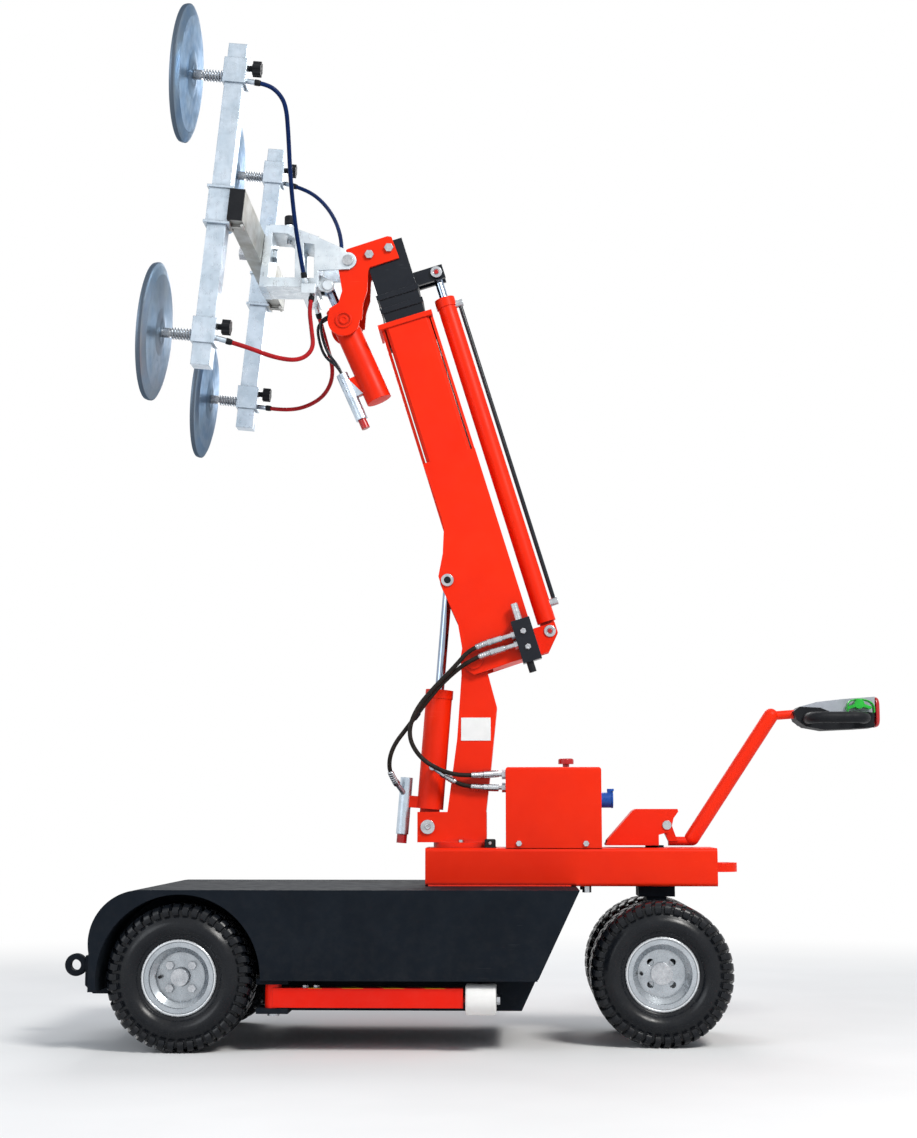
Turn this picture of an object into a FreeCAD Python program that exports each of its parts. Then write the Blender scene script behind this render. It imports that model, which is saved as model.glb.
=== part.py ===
import FreeCAD, Part
import math
import os

V = FreeCAD.Vector
ALONG_X = V(1, 0, 0)
ALONG_Y = V(0, 1, 0)
ALONG_Z = V(0, 0, 1)
os.makedirs("parts", exist_ok=True)

# Glass panel lifter. Millimetres, +Z up, floor at Z = 0.
# The cups face -X, the tiller is at +X, the left side is -Y.

# Fits
fit = 0.05
slide_gap = 0.3
slack = 0.5

# Wheels
front_axle_x = -731.0
rear_axle_x = 491.0
tyre_radius = 184.0
tyre_half_width = 75.0
rear_wheel_y = 145.0
bead_radius = 80.0
bead_half_width = 54.0
bead_thick = 14.0
tyre_bulge_drop = 49.0
tyre_bulge_radius = tyre_radius - tyre_bulge_drop
tyre_shoulder_drop = 18.0
tyre_shoulder_radius = tyre_radius - tyre_shoulder_drop
tyre_shoulder_inset = 4.0
tyre_shoulder_half = tyre_half_width - tyre_shoulder_inset
tyre_edge_drop = 5.0
tyre_edge_radius = tyre_radius - tyre_edge_drop
tyre_edge_inset = 11.0
tyre_edge_half = tyre_half_width - tyre_edge_inset
tyre_crown_inset = 25.0
tyre_crown_half = tyre_half_width - tyre_crown_inset
tyre_wall = 13.0
tyre_crown = 24.0
groove_count = 20
groove_width = 17.0
groove_depth = 9.0
groove_start = 14.0
flange_radius = 95.0
flange_thick = 4.0
rim_wall = 4.0
rim_well_radius = 66.0
rim_well_half = 30.0
rim_seat_half = 42.0
web_outer = 22.0
web_inner = 16.0
web_hole_radius = 24.0
lug_count = 4
lug_circle_radius = 40.0
lug_radius = 6.5
lug_head_radius = 11.0
lug_head_height = 10.0
lug_end = 7.0
open_lug_radius = 9.0
hub_flange_radius = 52.0
hub_flange_end = 4.0
hub_boss_radius = 22.0
hub_boss_outer = 48.0
drive_shaft_radius = 15.0
drive_shaft_length = 110.0
valve_stem_radius = 4.0
valve_stem_place = 52.0
valve_stem_out = 40.0
rear_hub_radius = 23.0
rear_cap_radius = 28.0
rear_cap_outer = 36.0
rear_hub_flange_radius = 40.0
rear_hub_inner = 62.0
rear_axle_radius = 12.0
rear_axle_end = 20.0

# Chassis shell
shell_half = 350.0
front_wheel_y = shell_half - tyre_half_width
tray_inset = 100.0
tray_half = shell_half - tray_inset
arch_gap = 23.0
arch_radius = tyre_radius + arch_gap
shell_wall = 4.0
shell_cover = 11.0
shell_top = 2 * tyre_radius + arch_gap + shell_cover
shell_drop = 1.0
shell_bottom = tyre_radius - shell_drop
nose_reach = 226.0
nose_x = front_axle_x - nose_reach
nose_drop = 33.0
nose_bottom = shell_bottom - nose_drop
nose_bend_drop = 157.0
nose_bend_z = shell_top - nose_bend_drop
nose_mid_back = 36.0
nose_mid_x = nose_x + nose_mid_back
nose_mid_drop = 38.0
nose_mid_z = shell_top - nose_mid_drop
nose_top_back = 119.0
nose_top_x = nose_x + nose_top_back
nose_step_back = 22.0
nose_step_x = nose_x + nose_step_back
rear_top_x = 276.0
rear_slope = 105.0
rear_low_x = rear_top_x - rear_slope
arch_side_gap = 10.0
arch_inner_y = front_wheel_y - tyre_half_width - arch_side_gap
open_inset = 4.0
open_half = tray_half - open_inset
bend_share = 0.72

# Tray under the chassis
tray_axle_gap = 22.0
tray_front_x = front_axle_x + tyre_radius + tray_axle_gap
tray_depth = 86.0
tray_bottom = shell_bottom - tray_depth
tray_wall = 4.0
tray_flange = 4.0
lug_ahead = 10.0
lug_front_x = tray_front_x - lug_ahead
lug_length = 80.0
lug_rear_x = lug_front_x + lug_length
lug_top_thick = 14.0
lug_top_z = shell_bottom - lug_top_thick
lug_low_thick = 13.0
lug_low_top_z = tray_bottom + lug_low_thick

# Outriggers
leg_pivot_back = 31.0
leg_pivot_x = tray_front_x + leg_pivot_back
leg_side_gap = 60.0
leg_y = tray_half + leg_side_gap
leg_pin_radius = 10.0
leg_barrel_radius = 21.0
leg_half_width = 22.0
leg_rise = 2.0
leg_bottom = lug_low_top_z + leg_rise
leg_height = 48.0
leg_top = leg_bottom + leg_height
leg_wall = 4.0
leg_length = 477.0
leg_end_x = leg_pivot_x + leg_length
roller_radius = 39.0
roller_gap = 6.0
roller_front_x = leg_end_x + roller_gap
roller_length = 77.0
roller_rear_x = roller_front_x + roller_length
roller_rise = 20.0
roller_z = leg_bottom + roller_rise
roller_axle_radius = 8.0
roller_edge = 6.0
roller_nut_radius = 13.0
roller_nut_length = 9.0
leg_pin_head_radius = 15.0
leg_pin_head_height = 6.0

# Drive axle
axle_tube_radius = 32.0
axle_end_gap = 13.0
axle_tube_end = front_wheel_y - axle_end_gap
gear_half_x = 65.0
gear_half_y = 105.0
gear_below = 66.0
gear_low = tyre_radius - gear_below
gear_above = 71.0
gear_top = tyre_radius + gear_above
drive_motor_radius = 52.0
drive_motor_length = 128.0
drive_motor_rise = 31.0
drive_motor_z = tyre_radius + drive_motor_rise
hanger_half_x = 35.0
hanger_y = 70.0
hanger_thick = 12.0

# Batteries in the tray
battery_half_width = 165.0
battery_height = 210.0
battery_back = 85.0
battery_front_x = tray_front_x + battery_back
battery_length = 240.0
battery_gap = 20.0
terminal_radius = 9.0
terminal_height = 14.0
terminal_inset = 35.0

# Tow eye at the front
tow_reach = 115.0
tow_eye_x = nose_x - tow_reach
tow_eye_neck = 27.0
tow_plate_front_x = tow_eye_x + tow_eye_neck
tow_plate_drop = 37.0
tow_plate_bottom = nose_bottom - tow_plate_drop
tow_plate_height = 100.0
tow_plate_top = tow_plate_bottom + tow_plate_height
tow_plate_half = 12.0
tow_foot_half = 60.0
tow_foot_thick = 10.0
tow_foot_rise = 5.0
tow_foot_bottom = nose_bottom + tow_foot_rise
tow_eye_drop = 25.0
tow_eye_z = tow_plate_top - tow_eye_drop
tow_eye_radius = 30.0
tow_hole_radius = 14.5
tow_chamfer = 22.0

# Main frame and rear tongue
frame_front_x = -124.0
frame_overhang = 158.0
frame_rear_x = rear_axle_x + frame_overhang
frame_half = 100.0
frame_bottom = shell_top
frame_height = 100.0
frame_wall = 6.0
frame_round = 10.0
frame_top = frame_bottom + frame_height
kingpin_radius = 25.0
kingpin_tube_radius = 40.0
tongue_root = 89.0
tongue_front_x = frame_rear_x - tongue_root
tongue_reach = 62.0
tongue_end_x = frame_rear_x + tongue_reach
tongue_half = 45.0
tongue_rise = 36.0
tongue_bottom = frame_bottom + tongue_rise
tongue_thick = 24.0
tongue_top = tongue_bottom + tongue_thick
tongue_hole_inset = 29.0
tongue_hole_x = tongue_end_x - tongue_hole_inset
tongue_hole_radius = 13.0
frame_foot_back = 28.0
frame_foot_x = rear_top_x + frame_foot_back
frame_foot_y = 85.0
frame_foot_radius = 12.0
frame_foot_height = 16.0

# Column
pivot_x = 5.0
pivot_rise = 503.0
pivot_z = frame_top + pivot_rise
lift_base_reach = 125.0
lift_base_x = pivot_x - lift_base_reach
lift_base_rise = 55.0
lift_base_z = frame_top + lift_base_rise
column_half = 48.0
column_plate = 8.0
column_flange_off = 35.0
column_flange_x = pivot_x - column_flange_off
column_flange_radius = 76.0
column_flange_thick = 14.0
column_flange_top = frame_top + column_flange_thick
column_base_rise = 95.0
column_base_top = frame_top + column_base_rise
column_base_ahead = 28.0
column_base_front_x = lift_base_x - column_base_ahead
column_base_behind = 33.0
column_base_rear_x = pivot_x + column_base_behind
column_top_radius = 36.0
column_boss_radius = 28.0
column_slot_half = 21.0
column_slot_depth = 38.0
column_slot_rear_x = lift_base_x + column_slot_depth
column_width = 100.0
column_shares = [(-0.73, 0.175), (-0.46, 0.5765), (-0.34, 0.9225), (-0.36, 1.0), (0.36, 1.0),
                 (0.36, 0.9423), (0.62, 0.7495), (0.46, 0.4334), (0.31, 0.175)]
pivot_pin_radius = 16.0
pivot_pin_head_radius = 24.0
pivot_pin_head = 6.0
lift_pin_radius = 12.5
lift_pin_head = 6.0
lift_pin_head_radius = 19.0
flange_bolt_count = 6
flange_bolt_circle = 64.0
flange_bolt_radius = 8.0
flange_bolt_height = 7.0
name_plate_thick = 1.5
name_plate_ahead = 35.0
name_plate_x0 = pivot_x - name_plate_ahead
name_plate_length = 80.0
name_plate_x1 = name_plate_x0 + name_plate_length
name_plate_rise = 286.0
name_plate_z0 = frame_top + name_plate_rise
name_plate_height = 62.0
name_plate_z1 = name_plate_z0 + name_plate_height

# Control box
box_gap = 52.0
box_front_x = column_base_rear_x + box_gap
box_length = 255.0
box_rear_x = box_front_x + box_length
box_inset = 2.0
box_half = frame_half - box_inset
box_height = 214.0
box_top = frame_top + box_height
box_wall = 3.0
box_round = 8.0
box_bolt_front = 35.0
box_bolt_rear = 42.0
box_bolt_x = (box_front_x + box_bolt_front, box_rear_x - box_bolt_rear)
box_bolt_rise = 12.0
box_bolt_z = frame_top + box_bolt_rise
box_bolt_radius = 8.0
box_bolt_height = 6.0
box_fitting_radius = 10.0
box_nut_radius = 13.0
stop_back = 164.0
stop_x = box_front_x + stop_back
stop_cap_radius = 21.0
stop_gap = 10.0
stop_cap_bottom = box_top + stop_gap
stop_cap_height = 15.0
stop_cap_top = stop_cap_bottom + stop_cap_height
stop_stem_radius = 9.0
stop_stem_depth = 20.0
stop_stem_bottom = box_top - stop_stem_depth
socket_rise = 127.0
socket_z = frame_top + socket_rise
socket_radius = 21.0
socket_length = 30.0
socket_bore_radius = 15.0
socket_floor = 8.0
lid_radius = 23.0
lid_thick = 5.0
lid_pin_radius = 4.0
lid_ear_half = 5.0
lid_ear_reach = 3.0
lid_gap = 0.5

# Pumps inside the control box
tank_inset = 15.0
tank_length = 110.0
tank_front_x = box_front_x + tank_inset
tank_rear_x = tank_front_x + tank_length
tank_half = 70.0
tank_height = 108.0
tank_top = frame_top + tank_height
pump_motor_radius = 42.0
pump_motor_length = 70.0
vacuum_inset = 15.0
vacuum_length = 90.0
vacuum_rear_x = box_rear_x - vacuum_inset
vacuum_front_x = vacuum_rear_x - vacuum_length
vacuum_half = 62.0
vacuum_height = 98.0
vacuum_top = frame_top + vacuum_height
vacuum_head_radius = 26.0
vacuum_head_height = 45.0

# Steering
crown_half_x = 48.0
crown_half_y = 58.0
crown_height = 28.0
crown_bottom = frame_bottom - crown_height
crown_gap = 1.0
carrier_half_x = 26.0
carrier_half_y = 50.0
carrier_drop = 26.0
carrier_bottom = tyre_radius - carrier_drop
steer_rise = 6.0
bracket_half = 40.0
bracket_plate = 5.0
bracket_size = 100.0
bracket_shares = [(-1.33, 0.06), (-1.29, 0.2), (-0.59, 0.99), (-0.51, 1.03), (0.6, 1.03), (0.62, 0.96),
                  (0.49, 0.78), (0.41, 0.43), (0.09, 0.34), (0.09, 0.06)]
bracket_floor_rise = 12.0
bracket_floor_top = frame_top + bracket_floor_rise
bracket_cover_shares = [(-1.29, 0.2), (-0.59, 0.99), (-0.51, 1.03), (0.6, 1.03), (0.6, 0.98),
                        (-0.49, 0.98), (-0.55, 0.95), (-1.24, 0.17)]
bracket_stop_back = 9.0
bracket_stop_x = rear_axle_x + bracket_stop_back

# Tiller
tiller_pin_back = 31.0
tiller_pin_x = rear_axle_x + tiller_pin_back
tiller_pin_rise = 60.0
tiller_pin_z = frame_top + tiller_pin_rise
tiller_pin_radius = 8.0
tiller_pin_head = 4.0
tiller_pin_head_radius = 12.0
tiller_lug_half = 15.0
tiller_lug_radius = 15.0
tiller_lug_length = 30.0
tiller_lug_x1 = tiller_pin_x + tiller_lug_length
tiller_base_rise = 17.0
tiller_base_z = frame_top + tiller_base_rise
tiller_base_radius = 12.0
tiller_base_back = 6.0
tiller_base_x0 = tiller_pin_x + tiller_base_back
tiller_bend_back = 70.0
tiller_bend_x = tiller_pin_x + tiller_bend_back
tiller_tube_radius = 20.0
tiller_run = 220.0
tiller_top_x = tiller_bend_x + tiller_run
tiller_rise = 337.0
tiller_top_z = tiller_base_z + tiller_rise
tiller_neck_radius = 12.0
tiller_neck_run = 72.0
tiller_neck_x = tiller_top_x + tiller_neck_run
tiller_neck_rise = 5.0
tiller_neck_z = tiller_top_z + tiller_neck_rise
head_half = 42.0
handle_size = 100.0
handle_low_shares = [(-0.16, 0.05), (-0.08, -0.19), (0.16, -0.36), (0.66, -0.45), (1.56, -0.41),
                     (1.98, -0.38), (2.01, 0.01), (1.36, 0.05), (1.01, -0.04), (0.56, 0.14),
                     (0.0, 0.17)]
handle_top_shares = [(0.0, 0.175), (0.56, 0.145), (1.01, -0.035), (1.36, 0.055), (2.01, 0.015),
                     (2.02, 0.44), (1.16, 0.38), (0.46, 0.3)]
grip_radius = 15.0
grip_y = 118.0
grip_root = 20.0
grip_bend = 36.0
grip_back = 21.0
grip_x0 = tiller_neck_x + grip_back
grip_length = 145.0
grip_x1 = grip_x0 + grip_length
grip_drop = 15.0
grip_z = tiller_neck_z - grip_drop
throttle_back = 154.0
throttle_x = tiller_neck_x + throttle_back
throttle_rise = 23.0
throttle_z = tiller_neck_z + throttle_rise
throttle_axle_radius = 6.0
throttle_hub_radius = 13.0
throttle_gap = 1.0
throttle_hub_y0 = head_half + throttle_gap
throttle_hub_length = 35.0
throttle_hub_y1 = throttle_hub_y0 + throttle_hub_length
throttle_wing = 30.0
throttle_wing_thick = 8.0
throttle_angles_deg = (200.0, 340.0)
belly_back = 206.0
belly_x0 = tiller_neck_x + belly_back
belly_thick = 12.0
belly_x1 = belly_x0 + belly_thick
belly_half = 38.0
belly_drop = 37.0
belly_z0 = tiller_neck_z - belly_drop
belly_height = 82.0
belly_z1 = belly_z0 + belly_height
belly_round = 14.0
belly_stem_radius = 9.0
belly_stem_length = 28.0
belly_stem_x = belly_x0 - belly_stem_length
belly_stem_drop = 19.0
belly_stem_z = tiller_neck_z - belly_stem_drop
belly_travel = 4.0

# Outer boom, measured along and across the boom from its pivot
boom_lean_deg = 17.1
boom_half_e = 75.0
pivot_axis_share = 1.346667
pivot_to_axis = boom_half_e * pivot_axis_share
boom_side_gap = 17.0
boom_half_y = column_half + boom_side_gap
boom_wall = 8.0
boom_bevel = 20.0
boom_low_s = 75.0
boom_top_s = 972.0
boom_foot = 100.0
boom_shares = [(-1.0, 5.6), (-0.9333, 4.05), (-0.9733, 3.7), (-1.28, 3.05), (-1.68, 2.48),
               (-1.68, 2.15), (-1.5067, 1.1), (-1.6267, 0.4), (-1.8267, 0.1), (-1.8267, -0.08),
               (-1.4933, -0.38), (-1.08, -0.38), (0.9867, -0.34), (1.0, 0.62), (1.0, 5.6)]
boom_floor_e = -58.0
boom_floor_s0 = -36.0
boom_floor_s1 = -28.0
boom_window_s0 = 180.0
boom_window_s1 = 290.0
boom_window_half = 34.0
boom_lip = 7.0
boom_lip_height = 14.0
pad_half = 28.0
pad_length = 60.0
ear_pin_radius = 12.5
ear_pin_head_radius = 17.0
ear_pin_head = 5.0
ear_shares = (-1.40563, 2.3049)

# Inner boom
inner_inset_e = 18.0
inner_half_e = boom_half_e - inner_inset_e
inner_inset_y = 19.0
inner_half_y = boom_half_y - inner_inset_y
inner_wall = 6.0
inner_low_s = 240.0
inner_rise = 232.0
inner_top_s = boom_top_s + inner_rise
tele_lug_drop = 142.0
tele_lug_s0 = inner_top_s - tele_lug_drop
tele_lug_height = 40.0
tele_lug_s1 = tele_lug_s0 + tele_lug_height
tele_lug_y0 = 15.0
tele_lug_y1 = 26.0
tele_gap = 46.5
tele_e = boom_half_e + tele_gap
tele_lug_reach = 21.5
tele_lug_end_e = tele_e + tele_lug_reach
collar_low = 34.0
collar_high = 74.0
collar_s = (boom_top_s + collar_low, boom_top_s + collar_high)
collar_thick = 5.0

# Telescope cylinder
tele_radius = 26.0
tele_bore_radius = 20.0
tele_low_s = 46.0
tele_rise = 36.0
tele_top_s = boom_top_s + tele_rise
tele_gland_radius = 29.0
tele_gland_length = 26.0
tele_rod_radius = 12.0
tele_pin_radius = 10.0
tele_pin_s = 18.0
tele_eye_radius = 20.0
tele_eye_half = 13.0
tele_lug_plate0 = 13.5
tele_lug_plate1 = 24.0
tele_top_pin_s = tele_lug_s0 + tele_lug_height / 2
piston_length = 28.0
tele_piston_s = 330.0
tele_line_radius = 6.0
tele_line_gap = 3.0
tele_line_s0 = 95.0
tele_line_drop = 23.0
tele_line_s1 = tele_top_s - tele_line_drop
tele_port_radius = 11.0

# Valve block on the boom
block_e0 = 24.0
block_e1 = 76.0
block_s0 = -52.0
block_s1 = 66.0
block_depth = 40.0
block_port_radius = 9.0
block_nut_radius = 12.0
block_pipe_radius = 7.0
block_port_y = -88.0
block_cap_radius = 10.0
block_cap_up_e = 47.0
block_cap_up_s = 112.0
block_cap_low_e = 42.0
block_cap_low_s = -80.0

# Lift cylinder, measured along the line between its pins
lift_radius = 36.0
lift_bore_radius = 28.0
lift_low = 48.0
lift_high = 372.0
lift_gland_radius = 38.0
lift_gland_length = 24.0
lift_rod_radius = 12.5
lift_eye_radius = 26.0
lift_eye_half = 20.0
lift_piston = 296.0
lift_rod_eye_radius = 22.0
lift_rod_eye_half = 18.0
lift_neck = 14.0
lift_valve_off = -70.0
lift_valve_radius = 17.0
lift_valve_low = -25.0
lift_valve_high = 128.0
lift_valve_cap = 24.0
lift_valve_cap_radius = 14.0
lift_bridge_low = 48.0
lift_bridge_high = 80.0
lift_bridge_half = 12.0
lift_clip_length = 14.0
lift_clip_at = 330.0
lift_clip_out = 8.0

# Knee plates on the inner boom
knee_plate = 8.0
knee_size = 100.0
knee_shares = [(-0.14, 0.28), (-0.01, 0.36), (1.1, 0.72), (1.22, 0.7), (1.44, 0.09), (0.62, -0.18),
               (0.57, -0.28), (0.55, -0.86), (0.44, -1.21), (0.4, -1.7), (-0.54, -1.7), (-0.52, -1.37),
               (-0.26, -1.2), (-0.16, -0.86), (-0.24, -0.39), (-0.3, -0.07)]
tilt_base_shares = (-0.11, -1.7)
head_pivot_e = -107.011
head_pivot_drop = 23.025
knee_disc_radius = 45.0
knee_head_radius = 28.0
knee_bolt_shares = [(0.6, 0.18), (1.15, 0.37)]
knee_bolt_radius = 8.0
knee_bolt_head_radius = 13.0
knee_bolt_head = 8.0
head_pin_radius = 12.0
head_pin_head_radius = 15.0
head_pin_head = 6.0
knee_ring_radius = 23.0
knee_ring_wall = 4.0
knee_ring_height = 4.0

# Tilt cylinder, measured along the line from its trunnion to its rod pin
tilt_radius = 36.0
tilt_bore_radius = 29.0
tilt_low = -240.0
tilt_high = 52.0
tilt_gland_length = 18.0
tilt_end_plate = 14.0
tilt_rod_radius = 13.0
tilt_trunnion_radius = 15.0
tilt_piston = -95.0
tilt_eye_radius = 19.0
tilt_eye_half = 18.0
tilt_eye_bore_radius = 11.0
tilt_valve_off = -66.0
tilt_valve_radius = 17.0
tilt_valve_low = -270.0
tilt_valve_high = -128.0
tilt_valve_cap = 28.0
tilt_valve_cap_radius = 12.0
tilt_bridge_low = -205.0
tilt_bridge_high = -150.0
tilt_bridge_half = 13.0

# Head frame that tilts on the knee
head_side_gap = 1.0
head_side_y0 = inner_half_y + knee_plate + head_side_gap
head_plate = 6.0
head_side_y1 = head_side_y0 + head_plate
head_size = 100.0
tilt_top_shares = (-0.59, -0.62)
yoke_shares = (-2.6, 0.4)
head_side_shares = [(-0.95, 0.67), (-0.82, 0.67), (-0.06, 0.32), (0.0, 0.0), (0.07, -0.25),
                    (-0.95, -0.29)]
head_eye_radius = 24.0
head_rear_shares = [(-0.95, -0.76), (-0.95, 0.7), (-0.82, 0.67), (-0.82, -0.76)]
head_top_shares = [(-2.2, 1.08), (-1.72, 1.04), (-0.82, 0.7), (-0.82, 0.46), (-1.32, 0.54),
                   (-1.72, 0.8), (-2.2, 0.84)]
head_low_shares = [(-2.32, -0.46), (-0.82, -0.5), (-0.82, -0.76), (-2.32, -0.74)]
head_mid_shares = [(-1.49, -0.62), (-1.49, 0.73), (-1.25, 0.63), (-1.25, -0.62)]
head_mid_post_half = 26.0
head_lug_gap = 1.0
head_lug_y0 = tilt_eye_half + head_lug_gap
head_lug_thick = 10.0
head_lug_y1 = head_lug_y0 + head_lug_thick
head_lug_shares = [(-0.82, -0.32), (-0.64, -0.4), (-0.43, -0.52), (-0.5, -0.79), (-0.82, -0.76)]
head_lug_radius = 19.0
tilt_pin_radius = 10.0
tilt_pin_head_radius = 15.0
tilt_pin_head = 5.0
plunger_shares = (-1.74, 1.0)
plunger_tube_height = 24.0
plunger_tube_radius = 12.0
plunger_radius = 6.0
plunger_depth = 32.0
plunger_knob_radius = 14.0
plunger_knob_height = 28.0
manifold_shares = (-1.28, -0.88, -1.0)
manifold_half = 82.0
manifold_seat = 4.0

# Yoke with the cups, measured from the middle of its cross beam
yoke_lean_deg = 5.6
beam_half_x = 20.0
beam_half_z = 42.0
tube_y = 375.0
beam_overhang = 37.0
beam_end_y = tube_y + beam_overhang
beam_wall = 4.0
beam_cap = 6.0
swivel_radius = 12.0
swivel_gap = 1.0
swivel_plate_x0 = beam_half_x + swivel_gap
swivel_plate_share = 0.43
swivel_plate_x1 = head_size * swivel_plate_share
swivel_plate_z0 = -112.0
swivel_plate_z1 = 68.0
swivel_nut_radius = 20.0
swivel_nut_end = -56.0
swivel_washer = 2.0
tube_x = -48.0
tube_half = 25.0
tube_wall = 4.0
tube_top_z = 440.0
tube_low_z = -424.0
tube_cap = 8.0
sleeve_wall = 5.0
sleeve_half_z = 52.0
sleeve_lip = 5.0
sleeve_lip_height = 7.0
holder_top_z = 363.0
holder_low_z = -349.0
holder_z = (holder_top_z, holder_low_z)
holder_wall = 6.0
holder_down = 24.0
holder_up = 44.0
knob_up = 28.0
knob_radius = 21.0
knob_lobe_radius = 7.0
knob_lobes = 6
knob_length = 22.0
knob_neck_radius = 8.0
knob_neck = 12.0
nipple_radius = 7.0
nipple_length = 44.0
manifold_stub_length = 34.0
clamp_length = 34.0
clamp_bar_radius = 4.0
clamp_bar_half = 20.0
stem_radius = 9.0
stem_end_x = -62.0
cup_hub_radius = 13.0
cup_hub_front = -160.0
cup_hub_rear = -139.0
cup_radius = 180.0
cup_back_x = -160.0
cup_dish = 18.0
cup_plate = 5.0
cup_shares = [(0.0, 0.0), (0.0, 0.167), (0.28, 0.344), (0.44, 0.833), (0.78, 0.956), (1.0, 1.0)]
seal_depth = 6.0
seal_shares = [(1.0, 0.99), (0.67, 0.88), (-0.6, 0.81)]
spring_radius = 14.0
spring_wire_radius = 2.2
spring_turns = 7
spring_spots = 24
spring_rear = -79.0

# Hoses
hose_radius = 6.0
arc_share = 0.45
ferrule_length = 30.0
barrel_port_x = -106.5
barrel_port_rise = 215.0
barrel_port_z = frame_top + barrel_port_rise
hose_level = 502.0
barrel_port_radius = 9.0
barrel_port_out = 72.0
hose_a = [(41.0, -60.0, 697.0), (-20.0, -70.0, 692.0), (-80.0, -88.0, 704.0), (-140.0, -99.0, 740.0),
          (-172.0, -102.0, 800.0), (-152.0, -102.0, 868.0), (-100.0, -100.0, 930.0), (-45.0, -96.0, 985.0),
          (-3.0, -88.0, 1036.0), (52.0, -88.0, 1053.0)]
hose_b = [(60.0, -88.0, 1026.0), (7.0, -88.0, 1010.0), (-52.0, -87.0, 968.0), (-105.0, -85.0, 914.0),
          (-150.0, -82.0, 854.0)]
hose_c = [(-150.0, -82.0, 854.0), (-177.0, -80.2, 818.0), (-208.0, -75.0, 779.0), (-224.0, -66.0, 738.0),
          (-222.0, -53.0, 698.0), (-204.0, -32.0, 672.0)]
hose_d = [(41.0, -60.0, 662.0), (0.0, -62.0, 663.0), (-45.0, -66.0, 674.0), (-82.0, -64.0, 700.0)]
blue_near = [(-570.0, -375.0, 2524.0), (-537.0, -373.0, 2519.0), (-508.0, -361.0, 2501.0),
             (-490.0, -340.0, 2472.0),
             (-489.0, -294.0, 2408.0), (-492.0, -216.0, 2308.0), (-487.0, -140.0, 2205.0),
             (-476.0, -92.0, 2125.0),
             (-468.0, -76.0, 2078.0)]
blue_far = [(-562.0, 375.0, 2513.0), (-515.0, 350.0, 2490.0), (-455.0, 285.0, 2425.0),
            (-405.0, 195.0, 2330.0),
            (-380.0, 115.0, 2225.0), (-392.0, 86.0, 2150.0), (-424.0, 80.0, 2108.0), (-450.0, 77.0, 2080.0)]
red_near = [(-634.0, -375.0, 1816.0), (-580.0, -364.0, 1802.0), (-515.0, -322.0, 1784.0),
            (-455.0, -262.0, 1790.0),
            (-425.0, -195.0, 1840.0), (-440.0, -130.0, 1915.0), (-452.0, -90.0, 1985.0),
            (-448.0, -66.0, 2024.0)]
red_far = [(-634.0, 375.0, 1812.0), (-575.0, 360.0, 1800.0), (-505.0, 318.0, 1800.0),
           (-440.0, 255.0, 1822.0),
           (-408.0, 180.0, 1870.0), (-425.0, 115.0, 1940.0), (-445.0, 72.0, 2018.0)]


# Small tools


def block(x0, x1, y0, y1, z0, z1):
    return Part.makeBox(x1 - x0, y1 - y0, z1 - z0, V(x0, y0, z0))


def rod(start, axis, radius, length):
    return Part.makeCylinder(radius, length, start, axis)


def rod_y(x, z, radius, y0, y1):
    return rod(V(x, y0, z), ALONG_Y, radius, y1 - y0)


def prism(outline, y0, y1):
    points = [V(x, y0, z) for x, z in outline]
    return Part.Face(Part.makePolygon(points + points[:1])).extrude(V(0, y1 - y0, 0))


def hexagon(start, axis, radius, length):
    flat = Part.makePolygon([V(radius * math.cos(math.pi * k / 3), radius * math.sin(math.pi * k / 3),
                               0) for k in range(7)])
    shape = Part.Face(flat).extrude(V(0, 0, length))
    shape.Placement = FreeCAD.Placement(start, FreeCAD.Rotation(ALONG_Z, axis))
    return shape


def mirrored(shape):
    return shape.mirror(V(0, 0, 0), ALONG_Y)


def moved(shape, x, y, z):
    copy = shape.copy()
    copy.translate(V(x, y, z))
    return copy


def joined(first, *others):
    return first.fuse(list(others)).removeSplitter()


def placed(shape, place):
    copy = shape.copy()
    copy.Placement = place.multiply(copy.Placement)
    return copy


def spun(points):
    wire = Part.makePolygon([V(r, y, 0) for r, y in points + points[:1]])
    return Part.Face(wire).revolve(V(0, 0, 0), ALONG_Y, 360)


def spun_x(points):
    wire = Part.makePolygon([V(x, 0, r) for x, r in points + points[:1]])
    return Part.Face(wire).revolve(V(0, 0, 0), ALONG_X, 360)


def save(node, *shapes):
    solids = [s for shape in shapes for s in shape.Solids]
    bad = [s for s in solids if not s.isValid() or s.Volume <= 0]
    Part.makeCompound(solids).exportStep("parts/" + node + ".step")
    print(node, len(solids), round(sum(s.Volume for s in solids) / 1000), "cm3", "BAD" if bad else "")


def unit(a, b):
    return (b - a).normalize()


def bend(first, corner, last):
    before = unit(first, corner)
    after = unit(corner, last)
    half_turn = before.getAngle(after) / 2
    radius = (corner - first).Length / math.tan(half_turn)
    middle = corner + (after - before).normalize() * (radius / math.cos(half_turn) - radius)
    return Part.Arc(first, middle, last).toShape(), radius


def tube_along(edges, radius):
    path = Part.Wire(edges)
    start = edges[0]
    ring = Part.makeCircle(radius, start.valueAt(start.FirstParameter),
                           start.tangentAt(start.FirstParameter))
    return path.makePipeShell([Part.Wire([ring])], True, False), path


def hose(points, name):
    corners = [V(*p) for p in points]
    edges = []
    radii = []
    start = corners[0]
    for before, corner, after in zip(corners, corners[1:], corners[2:]):
        reach = arc_share * min((corner - before).Length, (after - corner).Length)
        first = corner - unit(before, corner) * reach
        last = corner + unit(corner, after) * reach
        arc, radius = bend(first, corner, last)
        edges += [Part.makeLine(start, first), arc]
        radii.append(round(radius))
        start = last
    edges.append(Part.makeLine(start, corners[-1]))
    tube, path = tube_along(edges, hose_radius)
    share = tube.Volume / (math.pi * hose_radius ** 2 * path.Length)
    print(name, "bend radii", radii, "length", round(path.Length), "volume share", round(share, 4))
    return tube


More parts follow.
